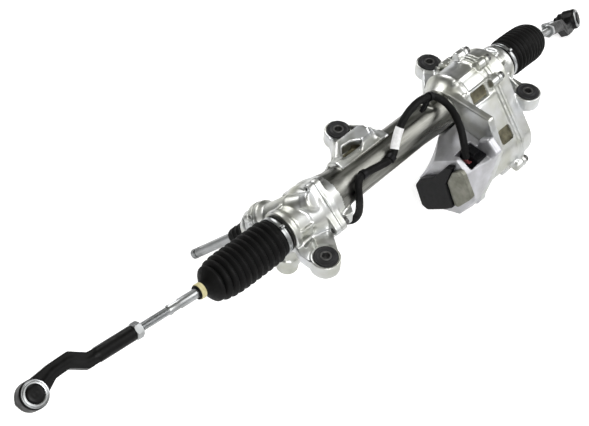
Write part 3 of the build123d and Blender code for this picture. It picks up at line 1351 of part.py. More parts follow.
def boot(plane, side):
    """Hollow ribbed boot with a large cuff on the housing and a small cuff on the rod."""
    curve = boot_curve(plane, side)
    outside = Plane(origin=(0, RACK_Y, 0), x_dir=(side, 0, 0), z_dir=(0, 0, 1))
    grip = Plane(origin=plane.origin + plane.x_dir * BOOT_GRIP, x_dir=plane.x_dir,
                 z_dir=plane.z_dir)
    with BuildPart() as rubber:
        add(bellows(curve, 0.0))
        add(bellows(curve, BOOT_WALL), mode=Mode.SUBTRACT)
        revolve(
            ring(outside, CUFF_FROM, CUFF_TO, NECK_R + CUFF_WALL, NECK_R), axis=about(outside)
        )
        revolve(ring(grip, 0, SMALL_CUFF, SMALL_CUFF_R, SHANK_R + FIT), axis=about(grip))
    return rubber


def band(plane, start, wide, inner, ear):
    """Band clamp: a thin ring with a crimped ear standing out of it."""
    middle = Plane(
        origin=plane.origin + plane.x_dir * (start + wide / 2), x_dir=plane.y_dir,
        z_dir=plane.x_dir,
    )
    with BuildPart() as clamp:
        revolve(ring(plane, start, start + wide, inner + CLAMP_THICK, inner), axis=about(plane))
        with BuildSketch(middle):
            with Locations((0, inner + CLAMP_THICK + ear / 2 - 0.4)):
                Rectangle(ear * 1.3, ear + 0.8)
        extrude(amount=wide / 2, both=True)
        with BuildSketch(middle):
            Circle(inner)
        extrude(amount=wide, both=True, mode=Mode.SUBTRACT)
    return clamp


for side, hand in ((-1, "left"), (1, "right")):
    rod = rod_plane(side)
    outside = Plane(origin=(0, RACK_Y, 0), x_dir=(side, 0, 0), z_dir=(0, 0, 1))
    keep(inner_socket(rod, side), f"inner_socket_{hand}")
    keep(tie_rod(rod), f"tie_rod_{hand}")
    keep(jam_nut(rod), f"jam_nut_{hand}")
    keep(rod_end(rod), f"rod_end_{hand}")
    keep(end_cap(rod), f"end_cap_{hand}")
    keep(ball_stud(rod), f"ball_stud_{hand}")
    keep(stud_boot(rod), f"stud_boot_{hand}")
    keep(boot(rod, side), f"boot_{hand}")
    keep(band(outside, BOOT_SEAT_X - CLAMP_WIDE / 2, CLAMP_WIDE, NECK_R + CUFF_WALL + FIT, 5.0),
         f"large_clamp_{hand}")
    keep(band(rod, BOOT_GRIP + 3, CLAMP_WIDE, SMALL_CUFF_R + FIT, 3.0),
         f"small_clamp_{hand}")

# ---------------------------------------------------------------------------------------------
# Harness: from the torque sensor, clipped along the tube, over it and down to the motor's plug
# ---------------------------------------------------------------------------------------------
HARNESS_R = 6.2
PORT_AT = 80.0                # the sensor's connector, along the pinion axis
PORT_R = 9.5
PORT_REACH = 46.0
WIRE_R = 1.3
SLEEVE_WALL = 1.1
CLIP_WALL = 1.6

port_dir = (Vector(1, 0, 0) - pinion_dir * pinion_dir.X).normalized()
port_foot = pinion_centre + pinion_dir * PORT_AT
port_line = Plane(origin=port_foot, x_dir=port_dir, z_dir=pinion_dir)
wire_start = (63.0, -18.0, -12.0)

harness_route = [
    port_foot + port_dir * PORT_REACH,
    port_foot + port_dir * (PORT_REACH + 18),
    Vector(-182, 143, -67),
    Vector(-168, 120, -70),
    Vector(-157, 95, -70),
    Vector(-147, 71, -69),
    Vector(-137, 50, -64),
    Vector(-132, 41, -44),
    Vector(-135, 39, -16),
    Vector(-139, 38.5, 6),
    Vector(-138, 44, 25),
    Vector(-127, 52, 33),
    Vector(-108, 52, 30),
    Vector(-84, 49.5, 26),
    Vector(-62, 47, 23),
    Vector(-47, 49, 27),
    Vector(-37, 56, 38),
    Vector(-28, 60, 55),
    Vector(-17, 63, 68),
    Vector(2, 67, 75),
    Vector(30, 72, 74),
    Vector(58, 76, 63),
    Vector(80, 74, 54),
    Vector(91, 56, 44),
    Vector(84, 30, 39),
    Vector(72, 6, 28),
    Vector(64, -9, 11),
    Vector(*wire_start),
]
runs = [(after - before).length for before, after in zip(harness_route, harness_route[1:])]
turns = [
    (here - before).get_angle(after - here)
    for before, here, after in zip(harness_route, harness_route[1:], harness_route[2:])
]
bends = [
    0.45 * min(into, out) / tan(radians(turn) / 2)
    for into, out, turn in zip(runs, runs[1:], turns)
]
print("harness bends", [round(bend) for bend in bends])

with BuildLine() as harness_path:
    FilletPolyline(*harness_route, radius=bends)
harness_wire = harness_path.wires()[0]
SLEEVE_CORNERS = (16, 18)     # the sleeve reaches from one corner's arc to the other's
CLIP_RUNS = (11, 14, 21)      # the clips sit midway along these runs


def stretch_of(first, last):
    """Part of the harness's path, from one corner's arc to another's."""
    pieces = harness_wire.edges()
    return Wire(pieces[2 * first - 1:2 * last])


with BuildPart() as harness_cable:
    with BuildSketch(Plane(origin=harness_wire @ 0, z_dir=harness_wire % 0)):
        Circle(HARNESS_R)
    sweep(path=harness_wire)
keep(harness_cable, "harness_cable")
print("harness length", round(harness_wire.length), "volume check",
      round(harness_cable.part.volume / (pi * HARNESS_R**2 * harness_wire.length), 4))

with BuildPart() as harness_sleeve:
    covered = stretch_of(*SLEEVE_CORNERS)
    with BuildSketch(Plane(origin=covered @ 0, z_dir=covered % 0)):
        Circle(HARNESS_R + SLEEVE_WALL)
        Circle(HARNESS_R, mode=Mode.SUBTRACT)
    sweep(path=covered)
keep(harness_sleeve, "harness_sleeve")

with BuildPart() as harness_clips:
    for run in CLIP_RUNS:
        step = (harness_route[run + 1] - harness_route[run]).normalized()
        middle = (harness_route[run + 1] + harness_route[run]) * 0.5
        inward = Vector(0, RACK_Y - middle.Y, -middle.Z)
        inward = (inward - step * inward.dot(step)).normalized()
        clip = Plane(origin=middle, x_dir=inward, z_dir=step)
        with BuildSketch(clip):
            Circle(HARNESS_R + CLIP_WALL)
            # its foot reaches down to the tube
            reach = hypot(middle.Y - RACK_Y, middle.Z) - TUBE_R - HARNESS_R + 4
            with Locations((HARNESS_R - 1 + reach / 2, 0)):
                Rectangle(reach + 2, 6)
        extrude(amount=4, both=True)
        with BuildSketch(clip):
            Circle(HARNESS_R)
        extrude(amount=8, both=True, mode=Mode.SUBTRACT)
    revolve(lathe(rack_line, TUBE_OUTLINE), axis=about(rack_line), mode=Mode.SUBTRACT)
    add(harness_cable.part, mode=Mode.SUBTRACT)
keep(harness_clips, "harness_clips")

with BuildPart() as sensor_connector:
    revolve(
        lathe(port_line, [
            (SENSOR_R - 2, 0), (SENSOR_R - 2, PORT_R + 2), (SENSOR_R + 4, PORT_R + 2),
            (SENSOR_R + 4, PORT_R), (PORT_REACH - 6, PORT_R), (PORT_REACH, HARNESS_R + 0.8),
            (PORT_REACH, 0),
        ]),
        axis=about(port_line),
    )
    add(sensor_housing.part, mode=Mode.SUBTRACT)
keep(sensor_connector, "sensor_connector")

with BuildPart() as plug_wires:
    x0, y0, z0 = wire_start
    for across_y, across_z in ((-5.5, -20.0), (-1.8, -22.0), (1.8, -24.0), (5.5, -26.0)):
        first = Vector(x0, y0 + across_y * 0.6, z0 - 2.5)
        with BuildLine() as strand:
            FilletPolyline(
                first, Vector(x0, y0 + across_y * 0.8, z0 - 6),
                Vector(x0 + 3, y0 + across_y, z0 + across_z + 8),
                Vector(PLUG_X[0] + 0.5, y0 + across_y, z0 + across_z + 8), radius=2.0,
            )
        with BuildSketch(Plane(origin=first, z_dir=strand.wires()[0] % 0)):
            Circle(WIRE_R)
        sweep(path=strand.wires()[0])
keep(plug_wires, "plug_wires")

os.makedirs("parts", exist_ok=True)
for piece in finished:
    export_step(piece, f"parts/{piece.label}.step")
print(f"{len(finished)} nodes")
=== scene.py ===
# %% [markdown]
# # An electric power steering rack
# A rack bar slides inside a long aluminium casting. A pinion at the left end pushes it when the
# driver steers, and a motor at the right end helps through a belt and a ball nut. The CAD model
# is the fixed frame: every piece made here stands where its CAD node stands and rides on that
# node's body, so the rack, rods and rotor still move.

from math import cos, pi, radians, sin, sqrt

import bpy
from mathutils import Matrix, Vector


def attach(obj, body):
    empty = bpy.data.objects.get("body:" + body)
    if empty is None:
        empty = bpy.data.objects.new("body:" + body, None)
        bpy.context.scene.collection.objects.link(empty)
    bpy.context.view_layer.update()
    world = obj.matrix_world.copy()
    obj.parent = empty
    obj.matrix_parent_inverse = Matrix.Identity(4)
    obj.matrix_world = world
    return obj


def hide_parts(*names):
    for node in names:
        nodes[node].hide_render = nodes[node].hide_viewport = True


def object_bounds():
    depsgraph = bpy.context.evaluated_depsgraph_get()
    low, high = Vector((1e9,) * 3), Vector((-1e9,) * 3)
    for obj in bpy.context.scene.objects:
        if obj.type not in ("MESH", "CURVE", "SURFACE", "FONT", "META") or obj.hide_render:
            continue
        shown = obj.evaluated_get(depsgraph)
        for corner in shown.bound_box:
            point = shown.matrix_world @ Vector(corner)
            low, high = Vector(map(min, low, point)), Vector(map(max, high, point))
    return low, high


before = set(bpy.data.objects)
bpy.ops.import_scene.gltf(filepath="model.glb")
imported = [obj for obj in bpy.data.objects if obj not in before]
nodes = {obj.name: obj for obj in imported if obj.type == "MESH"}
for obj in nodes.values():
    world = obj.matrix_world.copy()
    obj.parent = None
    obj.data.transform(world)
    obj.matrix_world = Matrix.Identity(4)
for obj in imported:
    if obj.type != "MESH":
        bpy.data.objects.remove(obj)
cad_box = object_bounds()
MM = 0.001

# %% [markdown]
# ## Camera, floor and light
# Metal shows what is around it, so the room matters as much as the metal. The world is plain
# white to the camera, but for reflections it has soft bright and dark bands by height, as a
# studio has with its light panels and its darker walls. Three large soft lamps do the rest.

# %% Camera
EYE = Vector((-1.0447, -0.6342, 1.2735))
LOOK = Vector((0.4858, 0.4324, -0.7596)).normalized()
ROLL = radians(2.75)

camera = bpy.data.objects.new("camera", bpy.data.cameras.new("camera"))
bpy.context.scene.collection.objects.link(camera)
level = LOOK.cross(Vector((0, 0, 1))).normalized()
upright = level.cross(LOOK)
side_dir = level * cos(ROLL) + upright * sin(ROLL)
up_dir = upright * cos(ROLL) - level * sin(ROLL)
camera.matrix_world = Matrix((
    (side_dir.x, up_dir.x, -LOOK.x, EYE.x),
    (side_dir.y, up_dir.y, -LOOK.y, EYE.y),
    (side_dir.z, up_dir.z, -LOOK.z, EYE.z),
    (0, 0, 0, 1),
))
camera.data.lens = 66.5
camera.data.sensor_width = 36
bpy.context.scene.camera = camera
bpy.context.scene.view_settings.view_transform = "Standard"
print("camera at", [round(c, 3) for c in EYE])

# %% One helper turns a written colour into light, one adds a shader node
def colour(code):
    """A hex sRGB colour as the linear RGBA that Blender works in."""
    parts = [int(code[i:i + 2], 16) / 255 for i in (1, 3, 5)]
    linear = [c / 12.92 if c <= 0.04045 else ((c + 0.055) / 1.055) ** 2.4 for c in parts]
    return (*linear, 1.0)


def add_node(tree, kind, inputs=None, **settings):
    """Adds one shader node; inputs are values, or outputs of other nodes to link."""
    made = tree.nodes.new(kind)
    for name, value in settings.items():
        setattr(made, name, value)
    for socket, value in (inputs or {}).items():
        if isinstance(value, bpy.types.NodeSocket):
            tree.links.new(value, made.inputs[socket])
        else:
            made.inputs[socket].default_value = value
    return made


def ramp(tree, source, stops):
    """A colour ramp over a value, through (place, hex colour) stops."""
    made = add_node(tree, "ShaderNodeValToRGB", {"Fac": source})
    elements = made.color_ramp.elements
    elements[0].position, elements[0].color = stops[0][0], colour(stops[0][1])
    elements[1].position, elements[1].color = stops[-1][0], colour(stops[-1][1])
    for place, code in stops[1:-1]:
        elements.new(place).color = colour(code)
    return made.outputs["Color"]


# %% World: white to the camera, bands of light and dark for reflections
world = bpy.data.worlds.new("studio")
bpy.context.scene.world = world
world.use_nodes = True
tree = world.node_tree
tree.nodes.clear()
direction = add_node(tree, "ShaderNodeTexCoord").outputs["Generated"]
height = add_node(tree, "ShaderNodeSeparateXYZ", {"Vector": direction}).outputs["Z"]
height = add_node(tree, "ShaderNodeMapRange", {
    "Value": height, "From Min": -1.0, "From Max": 1.0}).outputs["Result"]
front = ramp(tree, height, [
    (0.0, "#A8A8A6"), (0.46, "#9A9A98"), (0.52, "#5E5E5C"), (0.57, "#D8D8D8"), (0.64, "#FFFFFF"),
    (0.80, "#FFFFFF"), (0.90, "#A4A39A"), (1.0, "#7E7D76")])
back = ramp(tree, height, [
    (0.0, "#7A7A78"), (0.48, "#4C4C4A"), (0.60, "#20201F"), (0.72, "#34342F"), (0.80, "#8A8A82"),
    (0.86, "#3A3A36"), (0.93, "#6A6962"), (1.0, "#8A8982")])
facing = add_node(tree, "ShaderNodeSeparateXYZ", {"Vector": direction}).outputs["Y"]
facing = add_node(tree, "ShaderNodeMapRange", {
    "Value": facing, "From Min": -0.35, "From Max": 0.3}).outputs["Result"]
bands = add_node(tree, "ShaderNodeMix", {0: facing, 6: front, 7: back}, data_type="RGBA")
bands = bands.outputs[2]
room = add_node(tree, "ShaderNodeBackground", {"Color": colour("#FFFFFF"), "Strength": 0.5})
mirror = add_node(tree, "ShaderNodeBackground", {"Color": bands, "Strength": 1.0})
plain = add_node(tree, "ShaderNodeBackground", {"Color": colour("#FFFFFF"), "Strength": 1.0})
rays = add_node(tree, "ShaderNodeLightPath")
seen = add_node(tree, "ShaderNodeMixShader", {
    "Fac": rays.outputs["Is Glossy Ray"], 1: room.outputs[0], 2: mirror.outputs[0]})
seen = add_node(tree, "ShaderNodeMixShader", {
    "Fac": rays.outputs["Is Camera Ray"], 1: seen.outputs[0], 2: plain.outputs[0]})
add_node(tree, "ShaderNodeOutputWorld", {"Surface": seen.outputs[0]})


# %% Lamps
def lamp(name, place, target, size, watts):
    """A square soft lamp at place, turned to target."""
    light = bpy.data.objects.new(name, bpy.data.lights.new(name, "AREA"))
    bpy.context.scene.collection.objects.link(light)
    light.location = place
    light.rotation_euler = (Vector(target) - Vector(place)).to_track_quat("-Z", "Y").to_euler()
    light.data.size = size
    light.data.energy = watts
    return light


lamp("key_lamp", (-0.9, -1.4, 1.9), (0, 0.08, 0), 1.2, 32)
lamp("fill_lamp", (1.5, -0.9, 1.4), (0.1, 0.08, 0), 1.4, 18)
lamp("back_lamp", (0.2, 1.9, 1.6), (0, 0.08, 0), 1.6, 30)

# %% Floor
floor_z = cad_box[0][2]
bpy.ops.object.select_all(action="DESELECT")
bpy.ops.mesh.primitive_plane_add(size=12, location=(0, 0, floor_z))
floor = bpy.context.object
floor.name = "floor"
floor_material = bpy.data.materials.new("white_paper")
floor_material.use_nodes = True
tree = floor_material.node_tree
tree.nodes.clear()
paper = add_node(tree, "ShaderNodeBsdfDiffuse", {"Color": colour("#F4F4F3")})
rays = add_node(tree, "ShaderNodeLightPath")
lit = add_node(tree, "ShaderNodeAddShader", {0: paper.outputs[0], 1: add_node(
    tree, "ShaderNodeEmission", {"Color": colour("#FFFFFF"), "Strength": 0.35}).outputs[0]})
view = add_node(tree, "ShaderNodeMixShader", {
    "Fac": rays.outputs["Is Camera Ray"], 1: paper.outputs[0], 2: lit.outputs[0]})
add_node(tree, "ShaderNodeOutputMaterial", {"Surface": view.outputs[0]})
floor.data.materials.append(floor_material)
print("floor at", round(floor_z, 4))

# %% [markdown]
# ## Finishes
# Each finish is named for what the real one is. Patterns read Object coordinates, so they stay on
# the piece from any side. Metals take their look from roughness and from small bumps, rubber and
# plastic from a broad dull sheen.

# %% The start of every finish: coordinates, a shader and an output
def finish(name, base, roughness, metallic=0.0, **sockets):
    """A material with one Principled shader, and what its pattern nodes need."""
    material = bpy.data.materials.new(name)
    material.use_nodes = True
    tree = material.node_tree
    tree.nodes.clear()
    shader = add_node(tree, "ShaderNodeBsdfPrincipled", {
        "Base Color": colour(base), "Roughness": roughness, "Metallic": metallic,
        **{key.replace("_", " "): value for key, value in sockets.items()}})
    add_node(tree, "ShaderNodeOutputMaterial", {"Surface": shader.outputs[0]})
    place = add_node(tree, "ShaderNodeTexCoord").outputs["Object"]
    return material, tree, shader, place


def noise(tree, place, size_mm, detail=3.0, roughness=0.5):
    """Cloudy noise whose spots are about size_mm across."""
    return add_node(tree, "ShaderNodeTexNoise", {
        "Vector": place, "Scale": 1000 / size_mm, "Detail": detail, "Roughness": roughness,
    }).outputs["Fac"]


def spread(tree, value, low, high):
    """Stretches a 0 to 1 value over low to high."""
    return add_node(tree, "ShaderNodeMapRange", {
        "Value": value, "From Min": 0.3, "From Max": 0.7, "To Min": low, "To Max": high,
    }).outputs["Result"]


def bump(tree, shader, layers):
    """Links (height, depth in mm) layers to the shader, one on top of the other."""
    normal = None
    for height, depth in layers:
        inputs = {"Height": height, "Strength": 1.0, "Distance": depth * MM}
        if normal:
            inputs["Normal"] = normal
        normal = add_node(tree, "ShaderNodeBump", inputs).outputs["Normal"]
    tree.links.new(normal, shader.inputs["Normal"])


# %% Die-cast aluminium, shot-blasted: fine grain, slow waves, a little staining
cast, tree, shader, place = finish("die_cast_aluminium", "#C8C9C6", 0.36, metallic=1.0)
stain = noise(tree, place, 45, 3)
tree.links.new(ramp(tree, stain, [(0.3, "#B9BAAF"), (0.5, "#C8C9C6"), (0.7, "#D6D8DA")]),
               shader.inputs["Base Color"])
tree.links.new(spread(tree, noise(tree, place, 14), 0.3, 0.44), shader.inputs["Roughness"])
bump(tree, shader, [(noise(tree, place, 34, 1), 0.8), (noise(tree, place, 1.4, 2), 0.02)])

# %% The tube between the ends is ground; its darker tone is painted dark reflection, with streaks along it
dark_reflection_metal, tree, shader, place = finish("tube_painted_dark_reflection", "#7A7A75", 0.3, metallic=1.0)
along = add_node(tree, "ShaderNodeMapping", {"Vector": place, "Scale": (0.08, 1.0, 1.0)})
streaks = noise(tree, along.outputs["Vector"], 7, 4)
tree.links.new(ramp(tree, streaks, [(0.32, "#5F5F5A"), (0.5, "#777772"), (0.68, "#93938E")]),
               shader.inputs["Base Color"])
tree.links.new(spread(tree, streaks, 0.24, 0.4), shader.inputs["Roughness"])
bump(tree, shader, [(noise(tree, place, 30, 1), 0.3), (noise(tree, place, 1.2, 2), 0.015)])

# %% The same metal deep in a pocket: rough and brown-grey, darkened as painted shade
pocket_shade_metal, tree, shader, place = finish("painted_pocket_shade", "#5F5C4E", 0.5, metallic=0.8)
tree.links.new(ramp(tree, noise(tree, place, 12, 3), [(0.3, "#4C493D"), (0.7, "#77735F")]),
               shader.inputs["Base Color"])
bump(tree, shader, [(noise(tree, place, 1.6, 2), 0.03)])

# %% Grey cast motor case: the same metal, left dull and darker
grey_cast, tree, shader, place = finish("grey_cast_aluminium", "#C2C2C6", 0.45, metallic=0.85)
tree.links.new(ramp(tree, noise(tree, place, 30, 4), [
    (0.3, "#AEAEB0"), (0.55, "#C0C0C4"), (0.75, "#D0D0D6")]), shader.inputs["Base Color"])
tree.links.new(spread(tree, noise(tree, place, 12), 0.36, 0.52), shader.inputs["Roughness"])
bump(tree, shader, [(noise(tree, place, 1.6, 2), 0.03)])

# %% The control unit's cover is the same casting, darker and browner than the case
cover_cast, tree, shader, place = finish("darker_cover_cast", "#84847A", 0.5, metallic=0.7)
tree.links.new(ramp(tree, noise(tree, place, 15, 4), [(0.3, "#727267"), (0.7, "#94948A")]),
               shader.inputs["Base Color"])
tree.links.new(spread(tree, noise(tree, place, 8), 0.44, 0.58), shader.inputs["Roughness"])
bump(tree, shader, [(noise(tree, place, 1.4, 2), 0.03)])

# %% Zinc-plated and turned steel: soft, cloudy tones, slightly blue
steel, tree, shader, place = finish("zinc_plated_steel", "#A9ABAC", 0.3, metallic=1.0)
tree.links.new(ramp(tree, noise(tree, place, 30, 2), [(0.3, "#9A9C9C"), (0.7, "#B6B8BA")]),
               shader.inputs["Base Color"])
tree.links.new(spread(tree, noise(tree, place, 16), 0.27, 0.36), shader.inputs["Roughness"])
bump(tree, shader, [(noise(tree, place, 1.5, 1), 0.002)])

# %% Dark phosphated steel, for bolts and bush sleeves
dark_steel, tree, shader, place = finish("phosphated_steel", "#5F5F5E", 0.45, metallic=0.9)
tree.links.new(spread(tree, noise(tree, place, 3), 0.35, 0.55), shader.inputs["Roughness"])
bump(tree, shader, [(noise(tree, place, 0.9, 2), 0.01)])

# %% Black electro-coated forging: satin black with the forging's soft unevenness
forging, tree, shader, place = finish("black_coated_forging", "#060606", 0.42,
                                      Specular_IOR_Level=0.16)
tree.links.new(spread(tree, noise(tree, place, 7), 0.3, 0.48), shader.inputs["Roughness"])
bump(tree, shader, [(noise(tree, place, 9, 2), 0.15), (noise(tree, place, 1.2, 2), 0.02)])

# %% Moulded rubber for boots and bushes: matt black, greyer where it has been handled
rubber, tree, shader, place = finish("moulded_rubber", "#050505", 0.5, Specular_IOR_Level=0.16)
tree.links.new(ramp(tree, noise(tree, place, 18, 4), [(0.35, "#030303"), (0.75, "#080808")]),
               shader.inputs["Base Color"])
tree.links.new(spread(tree, noise(tree, place, 5), 0.5, 0.68), shader.inputs["Roughness"])
bump(tree, shader, [(noise(tree, place, 0.7, 2), 0.012)])

bush_rubber, tree, shader, place = finish("bush_rubber", "#1C1C1D", 0.5, Specular_IOR_Level=0.3)
tree.links.new(ramp(tree, noise(tree, place, 10, 4), [(0.35, "#151516"), (0.75, "#262628")]),
               shader.inputs["Base Color"])
bump(tree, shader, [(noise(tree, place, 0.8, 2), 0.015)])

# %% Moulded black plastic, fine-sparked texture
plastic, tree, shader, place = finish("moulded_nylon", "#07070A", 0.42, Specular_IOR_Level=0.18)
tree.links.new(ramp(tree, noise(tree, place, 25, 3), [(0.35, "#050507"), (0.7, "#0A0A0E")]),
               shader.inputs["Base Color"])
tree.links.new(spread(tree, noise(tree, place, 8), 0.36, 0.5), shader.inputs["Roughness"])
bump(tree, shader, [(noise(tree, place, 0.9, 2), 0.02)])

# %% Cream seal ring, blank white sleeve, red wire skin, green board, copper, rubber belt
cream, tree, shader, place = finish("cream_nylon", "#C9C08F", 0.45)
tree.links.new(ramp(tree, noise(tree, place, 8, 3), [(0.35, "#B8AE7C"), (0.7, "#D3CBA0")]),
               shader.inputs["Base Color"])
sleeve_white, tree, shader, place = finish("white_pvc_sleeve", "#E9E9E8", 0.4)
tree.links.new(ramp(tree, noise(tree, place, 6, 3), [(0.3, "#DADAD9"), (0.7, "#F0F0F0")]),
               shader.inputs["Base Color"])
bump(tree, shader, [(noise(tree, place, 7, 2), 0.2)])
wire_red, tree, shader, place = finish("red_wire_skin", "#7A3A3C", 0.4)
tree.links.new(ramp(tree, noise(tree, place, 4, 2), [(0.3, "#5E2A2E"), (0.7, "#95504F")]),
               shader.inputs["Base Color"])
board_green, tree, shader, place = finish("glass_epoxy_board", "#1F5A3A", 0.35)
tree.links.new(ramp(tree, noise(tree, place, 3, 2), [(0.4, "#1A4E33"), (0.7, "#2B6B47")]),
               shader.inputs["Base Color"])
copper, tree, shader, place = finish("wound_copper", "#B87348", 0.35, metallic=1.0)
bump(tree, shader, [(noise(tree, place, 1.0, 1), 0.05)])
belt_rubber, tree, shader, place = finish("belt_rubber", "#202020", 0.6)
bump(tree, shader, [(noise(tree, place, 1.5, 1), 0.03)])
print(len(bpy.data.materials), "finishes")

# %% [markdown]
# ## Tools for the bench
# Four ways of making a piece cover nearly all of this object. What was turned on a lathe is a
# half outline spun about its own axis. What was cast starts as a copy of the CAD solid: extra
# ribs and pads are joined on, one voxel remesh fuses them, and smoothing gives the soft fillets
# of a die casting. What was cut from plate or moulded is an outline pushed out and bevelled. What
# repeats is made once and copied.

# %% Selecting and changing one piece
def only(piece):
    """Makes piece the one selected and active object."""
    bpy.ops.object.select_all(action="DESELECT")
    piece.select_set(True)
    bpy.context.view_layer.objects.active = piece
    return piece


def modify(piece, kind, **settings):
    """Adds one modifier, sets it and applies it."""
    only(piece)
    made = piece.modifiers.new(kind.lower(), kind)
    for name, value in settings.items():
        setattr(made, name, value)
    bpy.ops.object.modifier_apply(modifier=made.name)
    return piece


def settle(piece, spot):
    """Moves piece from the origin to a frame, and leaves its place in its mesh."""
    only(piece)
    piece.matrix_world = spot
    bpy.ops.object.transform_apply(location=True, rotation=True, scale=True)
    return piece


def join(*pieces):
    """Joins the others into the first."""
    bpy.ops.object.select_all(action="DESELECT")
    for piece in pieces:
        piece.select_set(True)
    bpy.context.view_layer.objects.active = pieces[0]
    bpy.ops.object.join()
    return pieces[0]


def dress(piece, material, body, slot, *stands_for, angle=35):
    """Gives a finished piece its material, smooth shading and body. The slot is not used."""
    if piece.type == "MESH":
        piece.data.materials.clear()
        piece.data.materials.append(material)
        only(piece)
        bpy.ops.object.shade_smooth_by_angle(angle=radians(angle))
    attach(piece, body)
    if stands_for:
        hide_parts(*stands_for)
    return piece


def spot_at(origin_mm, x_dir, z_dir):
    """A frame at a point in mm, with its X and Z axes along these directions."""
    x = Vector(x_dir).normalized()
    z = (Vector(z_dir) - x * Vector(z_dir).dot(x)).normalized()
    y = z.cross(x)
    place = Vector(origin_mm) * MM
    return Matrix((
        (x.x, y.x, z.x, place.x), (x.y, y.y, z.y, place.y), (x.z, y.z, z.z, place.z),
        (0, 0, 0, 1)))


# %% Turning: an outline of (along, radius) points in mm, spun about the X axis
def turned(name, outline, spot, steps=64):
    """A lathe-turned piece. The outline is closed, or starts and ends on the axis."""
    bpy.ops.object.select_all(action="DESELECT")
    bpy.ops.mesh.primitive_plane_add(size=MM)
    piece = bpy.context.object
    piece.name = piece.data.name = name
    bpy.ops.object.mode_set(mode="EDIT")
    bpy.ops.mesh.merge(type="CENTER")
    bpy.ops.transform.translate(value=(outline[0][0] * MM, 0, outline[0][1] * MM))
    for here, there in zip(outline, outline[1:]):
        step = ((there[0] - here[0]) * MM, 0, (there[1] - here[1]) * MM)
        bpy.ops.mesh.extrude_region_move(TRANSFORM_OT_translate={"value": step})
    bpy.ops.mesh.select_all(action="SELECT")
    bpy.ops.mesh.spin(steps=steps, angle=2 * pi, center=(0, 0, 0), axis=(1, 0, 0))
    bpy.ops.mesh.select_all(action="SELECT")
    bpy.ops.mesh.remove_doubles(threshold=2e-6)
    bpy.ops.mesh.normals_make_consistent(inside=False)
    bpy.ops.object.mode_set(mode="OBJECT")
    return settle(piece, spot)


def soften(piece, width_mm, segments=2, angle=30):
    """Rounds every edge sharper than angle."""
    return modify(piece, "BEVEL", width=width_mm * MM, segments=segments, limit_method="ANGLE",
                  angle_limit=radians(angle))


# %% Casting: a merged copy of a CAD solid, with what is joined to it, fused and smoothed
def solid_copy(node, name):
    """A copy of a CAD node's mesh, with its loose triangles merged."""
    piece = bpy.data.objects.new(name, nodes[node].data.copy())
    bpy.context.scene.collection.objects.link(piece)
    only(piece)
    bpy.ops.object.mode_set(mode="EDIT")
    bpy.ops.mesh.select_all(action="SELECT")
    bpy.ops.mesh.remove_doubles(threshold=1e-6)
    bpy.ops.object.mode_set(mode="OBJECT")
    return piece


def fuse(piece, voxel_mm, rounds):
    """One skin of even faces over all that was joined, with its edges smoothed round."""
    modify(piece, "REMESH", mode="VOXEL", voxel_size=voxel_mm * MM)
    modify(piece, "SMOOTH", factor=0.5, iterations=rounds)
    print(piece.name, len(piece.data.polygons), "faces")
    return piece


# %% Pockets: one piece's shape is taken out of another
def cut(piece, cutter):
    """Takes the cutter's shape out of piece, and then removes the cutter."""
    modify(piece, "BOOLEAN", object=cutter, operation="DIFFERENCE")
    bpy.data.objects.remove(cutter)
    return piece


# %% Plates, pads and ribs: an outline in mm on a frame's XY plane, pushed out along its Z
def pushed(name, outline, spot, height_mm):
    """A prism. The outline is given anticlockwise seen from the frame's +Z."""
    bpy.ops.object.select_all(action="DESELECT")
    bpy.ops.mesh.primitive_circle_add(vertices=len(outline), radius=MM, fill_type="NGON")
    piece = bpy.context.object
    piece.name = piece.data.name = name
    for vertex, (x, y) in zip(piece.data.vertices, outline):
        vertex.co = (x * MM, y * MM, 0)
    bpy.ops.object.mode_set(mode="EDIT")
    bpy.ops.mesh.select_all(action="SELECT")
    bpy.ops.mesh.extrude_region_move(TRANSFORM_OT_translate={"value": (0, 0, height_mm * MM)})
    bpy.ops.mesh.select_all(action="SELECT")
    bpy.ops.mesh.normals_make_consistent(inside=False)
    bpy.ops.object.mode_set(mode="OBJECT")
    return settle(piece, spot)


def rib(name, start, end, across_dir, thick_mm, high_mm, end_high_mm=None):
    """A web from start to end in mm that stands high_mm along across_dir, on both sides."""
    run = Vector(end) - Vector(start)
    far = end_high_mm if end_high_mm is not None else high_mm
    outline = [(0, 0), (run.length, 0), (run.length, far), (0, high_mm)]
    x = run.normalized()
    up = Vector(across_dir)
    up = (up - x * up.dot(x)).normalized()
    spot = spot_at(Vector(start) - x.cross(up) * (thick_mm / 2), x, x.cross(up))
    return pushed(name, outline, spot, thick_mm)


# %% [markdown]
# ## The frames of the object
# The same few axes place nearly everything: the rack, the motor shaft, the pinion and the two tie
# rods. They repeat the CAD model's numbers.

# %% Rack, motor and pinion axes, in mm and degrees
RACK_Y = 78.0
MOTOR_Y, MOTOR_Z = 6.0, -84.0
PINION_X, PINION_OFFSET = -234.0, 17.0
PINION_SKEW, PINION_DROP = 20, 49.3
EARS = [(-257, 0), (257, 0), (-46, 167), (193, 167)]
UP = (0, 0, 1)
lathe_spot = spot_at((0, 0, 0), (1, 0, 0), UP)
rack_spot = spot_at((0, RACK_Y, 0), (1, 0, 0), (0, -1, 0))
motor_spot = spot_at((0, MOTOR_Y, MOTOR_Z), (1, 0, 0), (0, -1, 0))
skew, drop = radians(PINION_SKEW), radians(PINION_DROP)
pinion_dir = Vector((-sin(skew), cos(skew) * cos(drop), -cos(skew) * sin(drop)))
pinion_side = Vector((1, 0, 0)).cross(pinion_dir).normalized()
pinion_foot = Vector((PINION_X, RACK_Y, 0)) + pinion_side * PINION_OFFSET
pinion_spot = spot_at(pinion_foot, pinion_dir, pinion_side)

